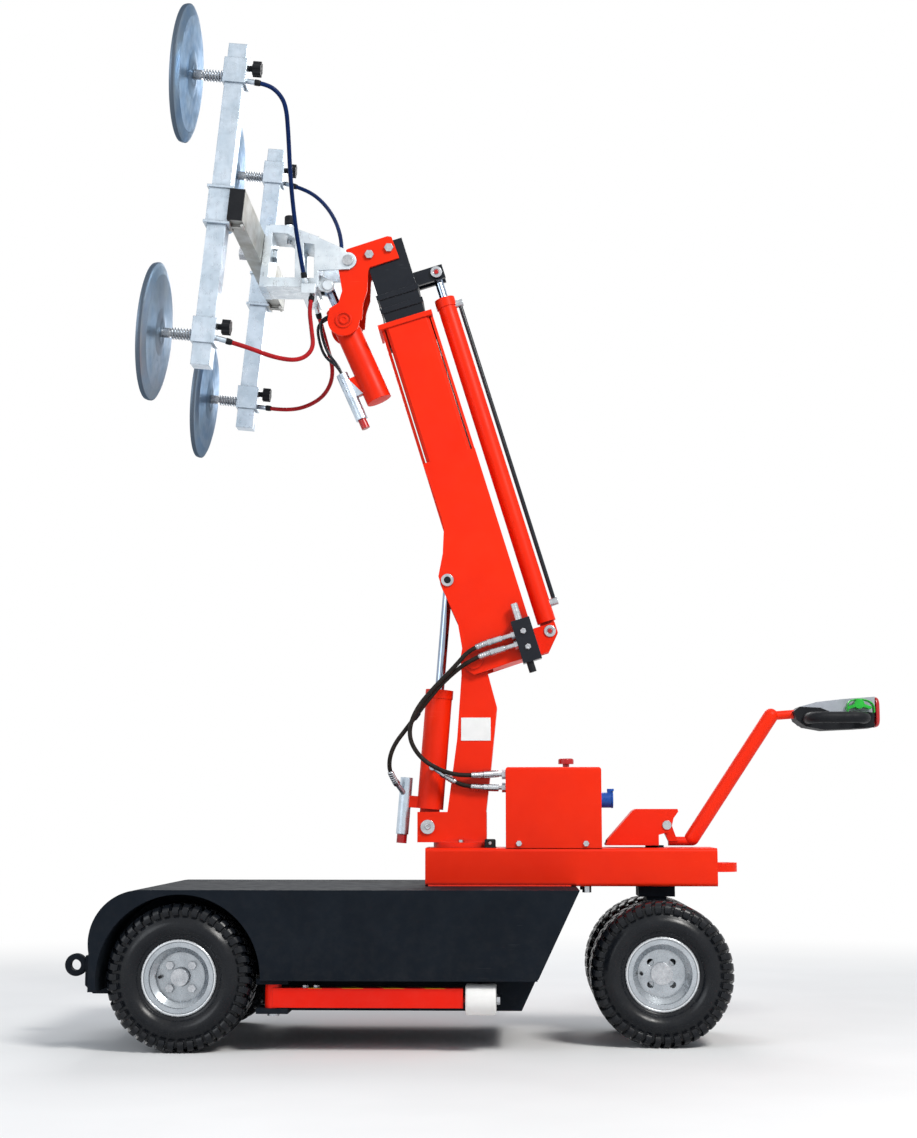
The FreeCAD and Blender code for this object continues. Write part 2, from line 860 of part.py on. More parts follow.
# A stub in line with the end run of a hose, from the hose's end face into its fitting
def hose_stub(end, beside, radius, length):
    return rod(V(*end), unit(V(*beside), V(*end)), radius, length)


# Frames of the leaning assemblies and the places that follow from them


def spread(shares, x, z, across, up):
    return [(x + across * a, z + up * b) for a, b in shares]


def along(place, x, z):
    point = place.multVec(V(x, 0, z))
    return point.x, point.z


def pin_line(x0, z0, x1, z1):
    span = V(x1 - x0, 0, z1 - z0)
    turn = FreeCAD.Rotation(ALONG_Y, math.degrees(math.atan2(span.x, span.z)))
    return span.Length, FreeCAD.Placement(V(x0, 0, z0), turn)


boom_lean = math.radians(boom_lean_deg)
boom_place = FreeCAD.Placement(V(pivot_x + pivot_to_axis * math.cos(boom_lean), 0,
                                 pivot_z + pivot_to_axis * math.sin(boom_lean)),
                               FreeCAD.Rotation(ALONG_Y, -boom_lean_deg))
column_outline = spread(column_shares, pivot_x, frame_top, column_width, pivot_rise)
bracket_outline = spread(bracket_shares, rear_axle_x, frame_top, bracket_size, bracket_size)
bracket_cover = spread(bracket_cover_shares, rear_axle_x, frame_top, bracket_size, bracket_size)
handle_low_outline = spread(handle_low_shares, tiller_neck_x, tiller_neck_z, handle_size, handle_size)
handle_top_outline = spread(handle_top_shares, tiller_neck_x, tiller_neck_z, handle_size, handle_size)
boom_outline = spread(boom_shares, 0, 0, boom_half_e, boom_foot)
ear_e, ear_s = spread([ear_shares], 0, 0, boom_half_e, boom_foot)[0]
lift_top_x, lift_top_z = along(boom_place, ear_e, ear_s)
lift_span, lift_place = pin_line(lift_base_x, lift_base_z, lift_top_x, lift_top_z)
head_pivot_x, head_pivot_z = along(boom_place, head_pivot_e, inner_top_s - head_pivot_drop)


def on_knee(shares):
    return spread(shares, head_pivot_x, head_pivot_z, knee_size, knee_size)


def on_head(shares):
    return spread(shares, head_pivot_x, head_pivot_z, head_size, head_size)


tilt_base_x, tilt_base_z = on_knee([tilt_base_shares])[0]
tilt_top_x, tilt_top_z = on_head([tilt_top_shares])[0]
tilt_span, tilt_place = pin_line(tilt_base_x, tilt_base_z, tilt_top_x, tilt_top_z)
yoke_x, yoke_z = on_head([yoke_shares])[0]
yoke_place = FreeCAD.Placement(V(yoke_x, 0, yoke_z), FreeCAD.Rotation(ALONG_Y, yoke_lean_deg))
plunger_x, plunger_base_z = on_head([plunger_shares])[0]
plunger_tube_top = plunger_base_z + plunger_tube_height
plunger_low_z = plunger_base_z - plunger_depth
plunger_knob_top = plunger_tube_top + plunger_knob_height
knee_bolts_xz = on_knee(knee_bolt_shares)


# The hose points were chosen with the frame's top at hose_level, and rise with it
def raised(points):
    return [(x, y, z + frame_top - hose_level) for x, y, z in points]


hose_a, hose_b = raised(hose_a), raised(hose_b)
hose_c, hose_d = raised(hose_c), raised(hose_d)
blue_near, blue_far = raised(blue_near), raised(blue_far)
red_near, red_far = raised(red_near), raised(red_far)


# Wheels, built with the axle along Y and the outer side towards -Y


def tyre():
    def half(sign):
        side = V(flange_radius, sign * bead_half_width, 0)
        bulge = V(tyre_bulge_radius, sign * tyre_half_width, 0)
        shoulder = V(tyre_shoulder_radius, sign * tyre_shoulder_half, 0)
        edge = V(tyre_edge_radius, sign * tyre_edge_half, 0)
        crown = V(tyre_radius, sign * tyre_crown_half, 0)
        inner_bead = V(bead_radius, sign * (bead_half_width - bead_thick), 0)
        inner_side = V(tyre_bulge_radius, sign * (tyre_half_width - tyre_wall), 0)
        inner_crown = V(tyre_radius - tyre_crown, sign * (tyre_crown_half - tyre_wall), 0)
        return side, bulge, shoulder, edge, crown, inner_bead, inner_side, inner_crown

    a = half(-1)
    b = half(1)
    bead_a = V(bead_radius, -bead_half_width, 0)
    bead_b = V(bead_radius, bead_half_width, 0)
    edges = [Part.makeLine(bead_a, a[0]), Part.Arc(a[0], a[1], a[2]).toShape(),
             Part.Arc(a[2], a[3], a[4]).toShape()]
    edges += [Part.makeLine(a[4], b[4]), Part.Arc(b[4], b[3], b[2]).toShape(),
              Part.Arc(b[2], b[1], b[0]).toShape()]
    edges += [Part.makeLine(b[0], bead_b), Part.makeLine(bead_b, b[5]),
              Part.Arc(b[5], b[6], b[7]).toShape()]
    edges += [Part.makeLine(b[7], a[7]), Part.Arc(a[7], a[6], a[5]).toShape(), Part.makeLine(a[5], bead_a)]
    body = Part.Face(Part.Wire(edges)).revolve(V(0, 0, 0), ALONG_Y, 360)
    return body.cut(tread_grooves())


def tread_grooves():
    cuts = []
    step = 360 / groove_count
    for side in (-1, 1):
        y0, y1 = sorted((side * groove_start, side * (tyre_half_width + tyre_wall)))
        for k in range(groove_count):
            cut = block(tyre_radius - groove_depth, tyre_radius + tyre_wall, y0, y1, -groove_width / 2,
                        groove_width / 2)
            cut.rotate(V(0, 0, 0), ALONG_Y, step * (k + (side + 1) / 4))
            cuts.append(cut)
    return Part.makeCompound(cuts)


def lug_places(first_deg):
    step = 2 * math.pi / lug_count
    turn = math.radians(first_deg)
    return [(lug_circle_radius * math.cos(turn + step * k),
             lug_circle_radius * math.sin(turn + step * k)) for k in range(lug_count)]


def rim(hole_radius):
    inner_flange = bead_half_width + flange_thick
    seat = bead_radius - rim_wall
    well = rim_well_radius - rim_wall
    outline = [(flange_radius, -inner_flange), (flange_radius, -bead_half_width),
               (bead_radius, -bead_half_width), (bead_radius, -rim_seat_half)]
    outline += [(rim_well_radius, -rim_well_half), (rim_well_radius, rim_well_half),
                (bead_radius, rim_seat_half), (bead_radius, bead_half_width)]
    outline += [(flange_radius, bead_half_width), (flange_radius, inner_flange), (seat, inner_flange),
                (seat, rim_seat_half + rim_wall)]
    outline += [(well, rim_well_half + rim_wall), (well, -web_inner), (web_hole_radius, -web_inner),
                (web_hole_radius, -web_outer)]
    outline += [(well, -web_outer), (well, -rim_well_half - rim_wall), (seat, -rim_seat_half - rim_wall),
                (seat, -inner_flange)]
    body = spun(outline)
    holes = [rod_y(x, z, hole_radius, -web_outer - rim_wall, -web_inner + rim_wall) for x,
             z in lug_places(45)]
    stem_hole = rod_y(-valve_stem_place, 0, valve_stem_radius, -web_outer - rim_wall, -web_inner + rim_wall)
    return body.cut(Part.makeCompound(holes + [stem_hole]))


def valve_stem():
    return rod_y(-valve_stem_place, 0, valve_stem_radius, -valve_stem_out, -web_inner)


def front_hub():
    flange = rod_y(0, 0, hub_flange_radius, -web_inner, -hub_flange_end)
    holes = [rod_y(x, z, lug_radius, -web_inner, -lug_end) for x, z in lug_places(45)]
    boss = rod_y(0, 0, hub_boss_radius, -hub_boss_outer, -web_inner)
    shaft = rod_y(0, 0, drive_shaft_radius - fit, -hub_flange_end, drive_shaft_length)
    return joined(flange.cut(Part.makeCompound(holes)), boss, shaft)


def wheel_bolts():
    bolts = []
    for x, z in lug_places(45):
        head = hexagon(V(x, -web_outer, z), V(0, -1, 0), lug_head_radius, lug_head_height)
        bolts.append(joined(head, rod_y(x, z, lug_radius, -web_outer, -lug_end)))
    return Part.makeCompound(bolts)


def rear_hub():
    boss = rod_y(0, 0, rear_hub_radius, -rear_cap_outer, rear_hub_inner)
    cap = rod_y(0, 0, rear_cap_radius, -rear_cap_outer, -web_outer)
    flange = rod_y(0, 0, rear_hub_flange_radius, -web_inner, -hub_flange_end)
    bore = rod_y(0, 0, rear_axle_radius + fit, -rear_axle_end, rear_hub_inner)
    return joined(boss, cap, flange).cut(bore)


def wheels():
    rubber = tyre()
    front = Part.makeCompound([rim(lug_radius), front_hub(), wheel_bolts(), valve_stem()])
    rear = Part.makeCompound([rim(open_lug_radius), rear_hub(), valve_stem()])
    for name, turn in (("left", 0), ("right", 1)):
        for place, x, y, metal in (("front", front_axle_x, front_wheel_y, front),
                                   ("rear", rear_axle_x, rear_wheel_y, rear)):
            for kind, shape in (("tyre", rubber), ("rim", metal)):
                wheel = moved(shape, x, -y, tyre_radius)
                save(place + "_" + kind + "_" + name, mirrored(wheel) if turn else wheel)


# Chassis


def shell_profile(inset):
    slope = math.hypot(rear_top_x - rear_low_x, shell_top - shell_bottom) / (shell_top - shell_bottom)
    lean = (rear_top_x - rear_low_x) / (shell_top - shell_bottom)
    front = nose_x + inset
    top = shell_top - inset
    bottom = shell_bottom + inset
    corner = V(front, 0, nose_bottom + inset)
    bend = V(front, 0, nose_bend_z)
    middle = V(nose_mid_x + bend_share * inset, 0, nose_mid_z - bend_share * inset)
    crest = V(nose_top_x, 0, top)
    rear = V(rear_top_x - slope * inset - lean * inset, 0, top)
    low = V(rear_low_x - slope * inset + lean * inset, 0, bottom)
    step = V(nose_step_x - inset, 0, bottom)
    foot = V(nose_step_x - inset, 0, nose_bottom + inset)
    edges = [Part.makeLine(corner, bend), Part.Arc(bend, middle, crest).toShape(),
             Part.makeLine(crest, rear), Part.makeLine(rear, low)]
    edges += [Part.makeLine(low, step), Part.makeLine(step, foot), Part.makeLine(foot, corner)]
    return Part.Face(Part.Wire(edges))


def chassis_shell():
    inner_half = shell_half - shell_wall
    outer = moved(shell_profile(0).extrude(V(0, 2 * shell_half, 0)), 0, -shell_half, 0)
    room = moved(shell_profile(shell_wall).extrude(V(0, 2 * inner_half, 0)), 0, -inner_half, 0)
    houses = []
    arches = []
    for side in (-1, 1):
        y0, y1 = sorted((side * (arch_inner_y - shell_wall), side * inner_half))
        houses.append(rod_y(front_axle_x, tyre_radius, arch_radius + shell_wall, y0, y1))
        y0, y1 = sorted((side * arch_inner_y, side * (shell_half + shell_wall)))
        arches.append(rod_y(front_axle_x, tyre_radius, arch_radius, y0, y1))
    room = room.cut(Part.makeCompound(houses))
    mid = arch_inner_y - shell_wall
    front_opening = block(nose_step_x + shell_wall, tray_front_x, -mid, mid, nose_bottom - shell_wall,
                          shell_bottom + 2 * shell_wall)
    tail = rear_low_x - 3 * shell_wall
    rear_opening = block(tray_front_x, tail, -open_half, open_half, shell_bottom - shell_wall,
                         shell_bottom + 2 * shell_wall)
    axle_hole = rod_y(front_axle_x, tyre_radius, axle_tube_radius + shell_wall, -shell_half, shell_half)
    shell = outer.cut(room)
    for cut in arches + [front_opening, rear_opening, axle_hole]:
        shell = shell.cut(cut)
    save("chassis_shell", shell)


def tray():
    lean = (rear_top_x - rear_low_x) / (shell_top - shell_bottom)
    low_rear = rear_low_x - lean * (shell_bottom - tray_bottom)
    outline = [(tray_front_x, tray_bottom), (low_rear, tray_bottom), (rear_low_x, shell_bottom),
               (tray_front_x, shell_bottom)]
    room = [(tray_front_x + tray_wall, tray_bottom + tray_wall),
            (low_rear - 2 * tray_wall, tray_bottom + tray_wall)]
    room += [(rear_low_x, shell_bottom + 2 * tray_wall),
             (tray_front_x + tray_wall, shell_bottom + 2 * tray_wall)]
    low_flange = shell_bottom - tray_flange
    flange_rear = rear_low_x - lean * tray_flange
    body = prism(outline, -tray_half, tray_half)
    extra = []
    for side in (-1, 1):
        y0, y1 = sorted((side * (tray_half - tray_wall), side * shell_half))
        extra.append(block(tray_front_x, flange_rear, y0, y1, low_flange, shell_bottom))
        y0, y1 = sorted((side * (tray_half - tray_wall), side * (leg_y + leg_barrel_radius + tray_wall)))
        extra.append(block(lug_front_x, lug_rear_x, y0, y1, lug_top_z, shell_bottom))
        extra.append(block(lug_front_x, lug_rear_x, y0, y1, tray_bottom, lug_low_top_z))
    body = joined(body, *extra)
    body = body.cut(prism(room, tray_wall - tray_half, tray_half - tray_wall))
    for side in (-1, 1):
        body = body.cut(rod(V(leg_pivot_x, side * leg_y, tray_bottom), ALONG_Z, leg_pin_radius,
                            shell_bottom - tray_bottom))
    save("tray", body)


def drive_axle():
    tube = rod_y(front_axle_x, tyre_radius, axle_tube_radius, -axle_tube_end, axle_tube_end)
    gear = block(front_axle_x - gear_half_x, front_axle_x + gear_half_x, -gear_half_y, gear_half_y,
                 gear_low, gear_top)
    motor = rod(V(front_axle_x + gear_half_x - tray_wall, 0, drive_motor_z), ALONG_X, drive_motor_radius,
                drive_motor_length)
    parts = [gear, motor]
    for side in (-1, 1):
        y0, y1 = sorted((side * hanger_y, side * (hanger_y + hanger_thick)))
        parts.append(block(front_axle_x - hanger_half_x, front_axle_x + hanger_half_x, y0, y1, tyre_radius,
                           shell_top - shell_wall))
    body = joined(tube, *parts)
    hub_gap = front_wheel_y - drive_shaft_length
    for side in (-1, 1):
        y0, y1 = sorted((side * (hub_gap - slack), side * axle_tube_end))
        body = body.cut(rod_y(front_axle_x, tyre_radius, drive_shaft_radius, y0, y1))
    save("drive_axle", body)


def batteries():
    cells = []
    bottom = tray_bottom + tray_wall
    for k in range(2):
        x0 = battery_front_x + k * (battery_length + battery_gap)
        case = block(x0, x0 + battery_length, -battery_half_width, battery_half_width, bottom,
                     bottom + battery_height)
        posts = []
        for side in (-1, 1):
            y = side * (battery_half_width - terminal_inset)
            posts.append(rod(V(x0 + terminal_inset, y, bottom + battery_height), ALONG_Z, terminal_radius,
                             terminal_height))
        cells.append(joined(case, *posts))
    return cells


def tow_eye():
    outline = [(nose_x, tow_plate_bottom), (tow_plate_front_x + tow_chamfer, tow_plate_bottom),
               (tow_plate_front_x, tow_plate_bottom + tow_chamfer)]
    outline += [(tow_plate_front_x, tow_plate_top), (nose_x, tow_plate_top)]
    plate = prism(outline, -tow_plate_half, tow_plate_half)
    foot = block(nose_x - tow_foot_thick, nose_x, -tow_foot_half, tow_foot_half, tow_foot_bottom,
                 tow_plate_top)
    ring = rod_y(tow_eye_x, tow_eye_z, tow_eye_radius, -tow_plate_half, tow_plate_half)
    rounded = ring.makeFillet(tow_plate_half / 2,
                              [e for e in ring.Edges if e.Curve.TypeId == "Part::GeomCircle"])
    body = joined(plate, foot, rounded)
    save("tow_eye", body.cut(rod_y(tow_eye_x, tow_eye_z, tow_hole_radius, -tow_foot_half, tow_foot_half)))


def main_frame():
    outer = block(frame_front_x, frame_rear_x, -frame_half, frame_half, frame_bottom, frame_top)
    long_edges = [e for e in outer.Edges if abs(e.Vertexes[0].X - e.Vertexes[1].X) > frame_half]
    outer = outer.makeFillet(frame_round, long_edges)
    end_x = frame_rear_x - frame_wall
    low = frame_bottom + frame_wall
    high = frame_top - frame_wall
    room = block(frame_front_x + frame_wall, end_x, frame_wall - frame_half, frame_half - frame_wall, low,
                 high)
    housing = rod(V(rear_axle_x, 0, frame_bottom), ALONG_Z, kingpin_tube_radius, frame_height)
    tongue = block(tongue_front_x, tongue_end_x - tongue_half, -tongue_half, tongue_half, tongue_bottom,
                   tongue_top)
    tip = rod(V(tongue_end_x - tongue_half, 0, tongue_bottom), ALONG_Z, tongue_half,
              tongue_top - tongue_bottom)
    body = joined(outer.cut(room), housing, tongue, tip)
    body = body.cut(rod(V(rear_axle_x, 0, frame_bottom - slack), ALONG_Z, kingpin_radius,
                        frame_height + 2 * slack))
    body = body.cut(rod(V(tongue_hole_x, 0, tongue_bottom), ALONG_Z, tongue_hole_radius,
                        tongue_top - tongue_bottom))
    save("main_frame", body)


def column():
    flange = rod(V(column_flange_x, 0, frame_top), ALONG_Z, column_flange_radius,
                 column_flange_top - frame_top)
    base = block(column_base_front_x, column_base_rear_x, -column_half, column_half, column_flange_top,
                 column_base_top)
    boss = rod_y(lift_base_x, lift_base_z, column_boss_radius, -column_half, column_half)
    post = prism(column_outline, -column_half, column_half)
    top = rod_y(pivot_x, pivot_z, column_top_radius, -column_half, column_half)
    body = joined(flange, base, boss, post, top)
    inner = column_half - column_plate
    rounds = [V(x, 0, z) for x, z in column_outline + column_outline[:1]]
    shrunk = Part.Face(Part.makePolygon(rounds)).makeOffset2D(-column_plate)
    room = moved(shrunk.extrude(V(0, 2 * inner, 0)), 0, -inner, 0)
    keep = rod_y(pivot_x, pivot_z, column_top_radius, -column_half, column_half)
    body = body.cut(room.cut(keep))
    slot_front = column_base_front_x - column_boss_radius
    slot = block(slot_front, column_slot_rear_x, -column_slot_half, column_slot_half, column_flange_top,
                 column_base_top)
    body = body.cut(slot)
    body = body.cut(rod_y(lift_base_x, lift_base_z, lift_pin_radius, -column_half, column_half))
    body = body.cut(rod_y(pivot_x, pivot_z, pivot_pin_radius, -column_half, column_half))
    plate_y = column_half + name_plate_thick
    plate = block(name_plate_x0, name_plate_x1, -plate_y, -column_half, name_plate_z0, name_plate_z1)
    save("column", body, plate)


def frame_pins():
    far = boom_half_y + slack
    pivot = rod_y(pivot_x, pivot_z, pivot_pin_radius, -far, far)
    heads = [rod_y(pivot_x, pivot_z, pivot_pin_head_radius, far, far + pivot_pin_head)]
    heads.append(mirrored(heads[0]))
    lift = rod_y(lift_base_x, lift_base_z, lift_pin_radius, -column_half, column_half)
    lift_head = rod_y(lift_base_x, lift_base_z, lift_pin_head_radius, column_half,
                      column_half + lift_pin_head)
    pins = [joined(pivot, *heads), joined(lift, lift_head, mirrored(lift_head))]
    for side in (-1, 1):
        shank = rod(V(leg_pivot_x, side * leg_y, tray_bottom), ALONG_Z, leg_pin_radius,
                    shell_bottom - tray_bottom)
        head = rod(V(leg_pivot_x, side * leg_y, tray_bottom - leg_pin_head_height), ALONG_Z,
                   leg_pin_head_radius, leg_pin_head_height)
        pins.append(joined(shank, head))
    save("pivot_pins", *pins)


def box_fittings():
    fittings = []
    for points in (hose_a, hose_d):
        end = V(*points[0])
        pipe_x = end.x + box_fitting_radius
        pipe = rod(V(pipe_x, end.y, end.z), ALONG_X, hose_radius, box_front_x - pipe_x)
        nut = hexagon(V(box_front_x, end.y, end.z), V(-1, 0, 0), box_nut_radius, box_fitting_radius)
        ferrule = hose_stub(points[0], points[1], box_fitting_radius, ferrule_length)
        fittings.append(joined(pipe, nut, ferrule))
    return fittings


def frame_bolts():
    bolts = box_fittings()
    for k in range(flange_bolt_count):
        turn = 2 * math.pi * (k + 1 / 2) / flange_bolt_count
        x = column_flange_x + flange_bolt_circle * math.cos(turn)
        y = flange_bolt_circle * math.sin(turn)
        if abs(y) > column_half + flange_bolt_radius:
            bolts.append(hexagon(V(x, y, column_flange_top), ALONG_Z, flange_bolt_radius,
                                 flange_bolt_height))
    for x in box_bolt_x:
        for side in (-1, 1):
            bolts.append(hexagon(V(x, side * box_half, box_bolt_z), V(0, side, 0), box_bolt_radius,
                                 box_bolt_height))
    for side in (-1, 1):
        start = V(frame_foot_x, side * frame_foot_y, frame_bottom)
        bolts.append(hexagon(start, V(0, 0, -1), frame_foot_radius, frame_foot_height))
    save("frame_bolts", *bolts)


def control_box():
    outer = block(box_front_x, box_rear_x, -box_half, box_half, frame_top, box_top)
    edges = [e for e in outer.Edges if e.BoundBox.ZMin > frame_top]
    outer = outer.makeFillet(box_round, edges)
    room = block(box_front_x + box_wall, box_rear_x - box_wall, box_wall - box_half, box_half - box_wall,
                 frame_top, box_top - box_wall)
    body = outer.cut(room)
    body = body.cut(rod(V(stop_x, 0, box_top - 2 * box_wall), ALONG_Z, stop_stem_radius, 3 * box_wall))
    save("control_box", body)
    cap = rod(V(stop_x, 0, stop_cap_bottom), ALONG_Z, stop_cap_radius, stop_cap_top - stop_cap_bottom)
    cap = cap.makeFillet((stop_cap_top - stop_cap_bottom) / 3,
                         [e for e in cap.Edges if e.BoundBox.ZMin > stop_cap_bottom])
    stem = rod(V(stop_x, 0, stop_stem_bottom), ALONG_Z, stop_stem_radius - fit,
               stop_cap_bottom - stop_stem_bottom)
    save("stop_button", joined(cap, stem))
    socket = rod(V(box_rear_x, 0, socket_z), ALONG_X, socket_radius, socket_length)
    socket = socket.cut(rod(V(box_rear_x + socket_floor, 0, socket_z), ALONG_X, socket_bore_radius,
                            socket_length))
    hinge_x = box_rear_x + socket_length + lid_gap + lid_pin_radius
    hinge_z = socket_z + lid_radius + lid_pin_radius
    ears = []
    for side in (-1, 1):
        y0, y1 = sorted((side * (lid_ear_half + slack), side * (2 * lid_ear_half + slack)))
        arm = block(box_rear_x + socket_length - 2 * lid_ear_half, hinge_x + lid_ear_reach, y0, y1,
                    socket_z + socket_radius / 2, hinge_z + lid_ear_reach)
        ears.append(arm)
    front = box_rear_x + socket_length
    ears = [e.cut(block(front, front + lid_radius, -socket_radius, socket_radius, socket_z,
                        hinge_z - lid_ear_reach - lid_gap)) for e in ears]
    pin = rod_y(hinge_x, hinge_z, lid_pin_radius / 2, -2 * lid_ear_half - slack, 2 * lid_ear_half + slack)
    save("charge_socket", joined(socket, *ears, pin))
    disc = rod(V(front + lid_gap, 0, socket_z), ALONG_X, lid_radius - 2 * lid_gap, lid_thick)
    knuckle = rod_y(hinge_x, hinge_z, lid_pin_radius - lid_gap, -lid_ear_half, lid_ear_half)
    tab = block(front + lid_gap, front + lid_gap + lid_thick, -lid_ear_half, lid_ear_half,
                socket_z + lid_radius / 2, hinge_z)
    lid = joined(disc, knuckle, tab)
    save("charge_lid", lid.cut(rod_y(hinge_x, hinge_z, lid_pin_radius / 2 + fit, -lid_ear_half,
                                     lid_ear_half)))


def pumps():
    tank = block(tank_front_x, tank_rear_x, -tank_half, tank_half, frame_top, tank_top)
    motor = rod(V((tank_front_x + tank_rear_x) / 2, 0, tank_top), ALONG_Z, pump_motor_radius,
                pump_motor_length)
    unit_body = joined(tank, motor)
    case = block(vacuum_front_x, vacuum_rear_x, -vacuum_half, vacuum_half, frame_top, vacuum_top)
    heads = []
    for side in (-1, 1):
        y = side * (vacuum_half - vacuum_head_radius)
        heads.append(rod(V((vacuum_front_x + vacuum_rear_x) / 2, y, vacuum_top), ALONG_Z, vacuum_head_radius,
                         vacuum_head_height))
    return [unit_body, joined(case, *heads)]


def outriggers():
    centre = 0
    low = lug_low_top_z + slack
    barrel = rod(V(leg_pivot_x, 0, low), ALONG_Z, leg_barrel_radius, lug_top_z - slack - low)
    arm = block(leg_pivot_x, leg_end_x, -leg_half_width, leg_half_width, leg_bottom, leg_top)
    room = block(leg_pivot_x, leg_end_x - leg_wall, leg_wall - leg_half_width, leg_half_width - leg_wall,
                 leg_bottom + leg_wall, leg_top - leg_wall)
    room = room.cut(barrel)
    axle = rod(V(leg_end_x, centre, roller_z), ALONG_X, roller_axle_radius,
               roller_rear_x - leg_end_x + roller_nut_length)
    nut = hexagon(V(roller_rear_x + slack, centre, roller_z), ALONG_X, roller_nut_radius, roller_nut_length)
    leg = joined(arm.cut(room), barrel, axle, nut)
    leg = leg.cut(rod(V(leg_pivot_x, centre, low), ALONG_Z, leg_pin_radius + fit, lug_top_z - low))
    wheel = rod(V(roller_front_x, centre, roller_z), ALONG_X, roller_radius, roller_rear_x - roller_front_x)
    wheel = wheel.makeFillet(roller_edge, [e for e in wheel.Edges if e.Curve.TypeId == "Part::GeomCircle"])
    wheel = wheel.cut(rod(V(roller_front_x, centre, roller_z), ALONG_X, roller_axle_radius + fit,
                          roller_rear_x - roller_front_x))
    for name, side in (("left", -1), ("right", 1)):
        save("outrigger_" + name, moved(leg, 0, side * leg_y, 0))
        save("roller_" + name, moved(wheel, 0, side * leg_y, 0))


# Steering and tiller


def steering():
    crown = block(rear_axle_x - crown_half_x, rear_axle_x + crown_half_x, -crown_half_y, crown_half_y,
                  crown_bottom, frame_bottom - crown_gap)
    carrier = block(rear_axle_x - carrier_half_x, rear_axle_x + carrier_half_x, -carrier_half_y,
                    carrier_half_y, carrier_bottom, crown_bottom)
    pin_length = frame_height + steer_rise + crown_gap
    kingpin = rod(V(rear_axle_x, 0, frame_bottom - crown_gap), ALONG_Z, kingpin_radius - fit, pin_length)
    reach = rear_wheel_y + rear_axle_end - slack
    axle = rod_y(rear_axle_x, tyre_radius, rear_axle_radius, -reach, reach)
    save("steer_fork", joined(crown, carrier, kingpin, axle))
    floor_z = frame_top + steer_rise
    side = prism(bracket_outline, -bracket_half, bracket_plate - bracket_half)
    floor = block(bracket_outline[0][0], bracket_stop_x, -bracket_half, bracket_half, floor_z,
                  bracket_floor_top)
    cover = prism(bracket_cover, -bracket_half, bracket_half)
    body = joined(side, mirrored(side), floor, cover)
    body = body.cut(rod_y(tiller_pin_x, tiller_pin_z, tiller_pin_radius, -bracket_half, bracket_half))
    pin = rod_y(tiller_pin_x, tiller_pin_z, tiller_pin_radius, -bracket_half, bracket_half)
    head = rod_y(tiller_pin_x, tiller_pin_z, tiller_pin_head_radius, bracket_half,
                 bracket_half + tiller_pin_head)
    save("tiller_bracket", body, joined(pin, head, mirrored(head)))


def tiller():
    lug = rod_y(tiller_pin_x, tiller_pin_z, tiller_lug_radius, -tiller_lug_half, tiller_lug_half)
    web = prism([(tiller_pin_x - tiller_lug_radius, tiller_pin_z), (tiller_base_x0, tiller_base_z),
                 (tiller_lug_x1, tiller_base_z),
                 (tiller_pin_x + tiller_lug_radius, tiller_pin_z)], -tiller_lug_half, tiller_lug_half)
    base = rod(V(tiller_base_x0, 0, tiller_base_z), ALONG_X, tiller_base_radius,
               tiller_bend_x - tiller_base_x0)
    foot = V(tiller_bend_x, 0, tiller_base_z + tiller_tube_radius - tiller_base_radius)
    top = V(tiller_top_x, 0, tiller_top_z)
    tube = rod(foot, unit(foot, top), tiller_tube_radius, (top - foot).Length)
    balls = [Part.makeSphere(tiller_tube_radius, foot), Part.makeSphere(tiller_tube_radius, top)]
    end = V(tiller_neck_x, 0, tiller_neck_z)
    neck = rod(top, unit(top, end), tiller_neck_radius, (end - top).Length)
    body = joined(lug, web, base, tube, neck, *balls)
    body = body.cut(rod_y(tiller_pin_x, tiller_pin_z, tiller_pin_radius + fit, -tiller_lug_half,
                          tiller_lug_half))
    save("tiller_tube", body)
    low = prism(handle_low_outline, -head_half, head_half)
    socket_end = V(tiller_neck_x, 0, tiller_neck_z)
    socket = rod(socket_end, unit(end, top), tiller_neck_radius, (end - top).Length)
    grips = []
    for side in (-1, 1):
        a = V(grip_x0, side * grip_root, grip_z)
        b = V(grip_x0, side * grip_y, grip_z)
        c = V(grip_x1, side * grip_y, grip_z)
        d = V(grip_x1, side * grip_root, grip_z)
        out = V(0, side * grip_bend, 0)
        ahead = V(grip_bend, 0, 0)
        first = bend(b - out, b, b + ahead)[0]
        second = bend(c - ahead, c, c - out)[0]
        loop = [Part.makeLine(a, b - out), first, Part.makeLine(b + ahead, c - ahead), second,
                Part.makeLine(c - out, d)]
        grips.append(tube_along(loop, grip_radius)[0])
    low = joined(low, *grips).cut(socket)
    stem_hole = rod(V(belly_stem_x - belly_travel, 0, belly_stem_z), ALONG_X, belly_stem_radius,
                    belly_x1 - belly_stem_x)
    axle_hole = rod_y(throttle_x, throttle_z, throttle_axle_radius, -head_half, head_half)
    low = low.cut(stem_hole)
    upper = prism(handle_top_outline, -head_half, head_half)
    save("tiller_head", low.cut(axle_hole), upper.cut(axle_hole))
    axle = rod_y(throttle_x, throttle_z, throttle_axle_radius - fit, -throttle_hub_y1, throttle_hub_y1)
    wings = []
    for side in (-1, 1):
        y0, y1 = sorted((side * throttle_hub_y0, side * throttle_hub_y1))
        wings.append(rod_y(throttle_x, throttle_z, throttle_hub_radius, y0, y1))
        for angle in throttle_angles_deg:
            wing = block(0, throttle_wing, y0, y1, -throttle_wing_thick / 2, throttle_wing_thick / 2)
            tip = rod_y(throttle_wing, 0, throttle_wing_thick / 2, y0, y1)
            wing = joined(wing, tip)
            wing.rotate(V(0, 0, 0), ALONG_Y, -angle)
            wings.append(moved(wing, throttle_x, 0, throttle_z))
    save("throttle", joined(axle, *wings))
    pad = block(belly_x0, belly_x1, -belly_half, belly_half, belly_z0, belly_z1)
    pad = pad.makeFillet(belly_round,
                         [e for e in pad.Edges if abs(e.Vertexes[0].X - e.Vertexes[1].X) > slack])
    stem = rod(V(belly_stem_x, 0, belly_stem_z), ALONG_X, belly_stem_radius - fit, belly_x0 - belly_stem_x)
    save("belly_switch", joined(pad, stem))


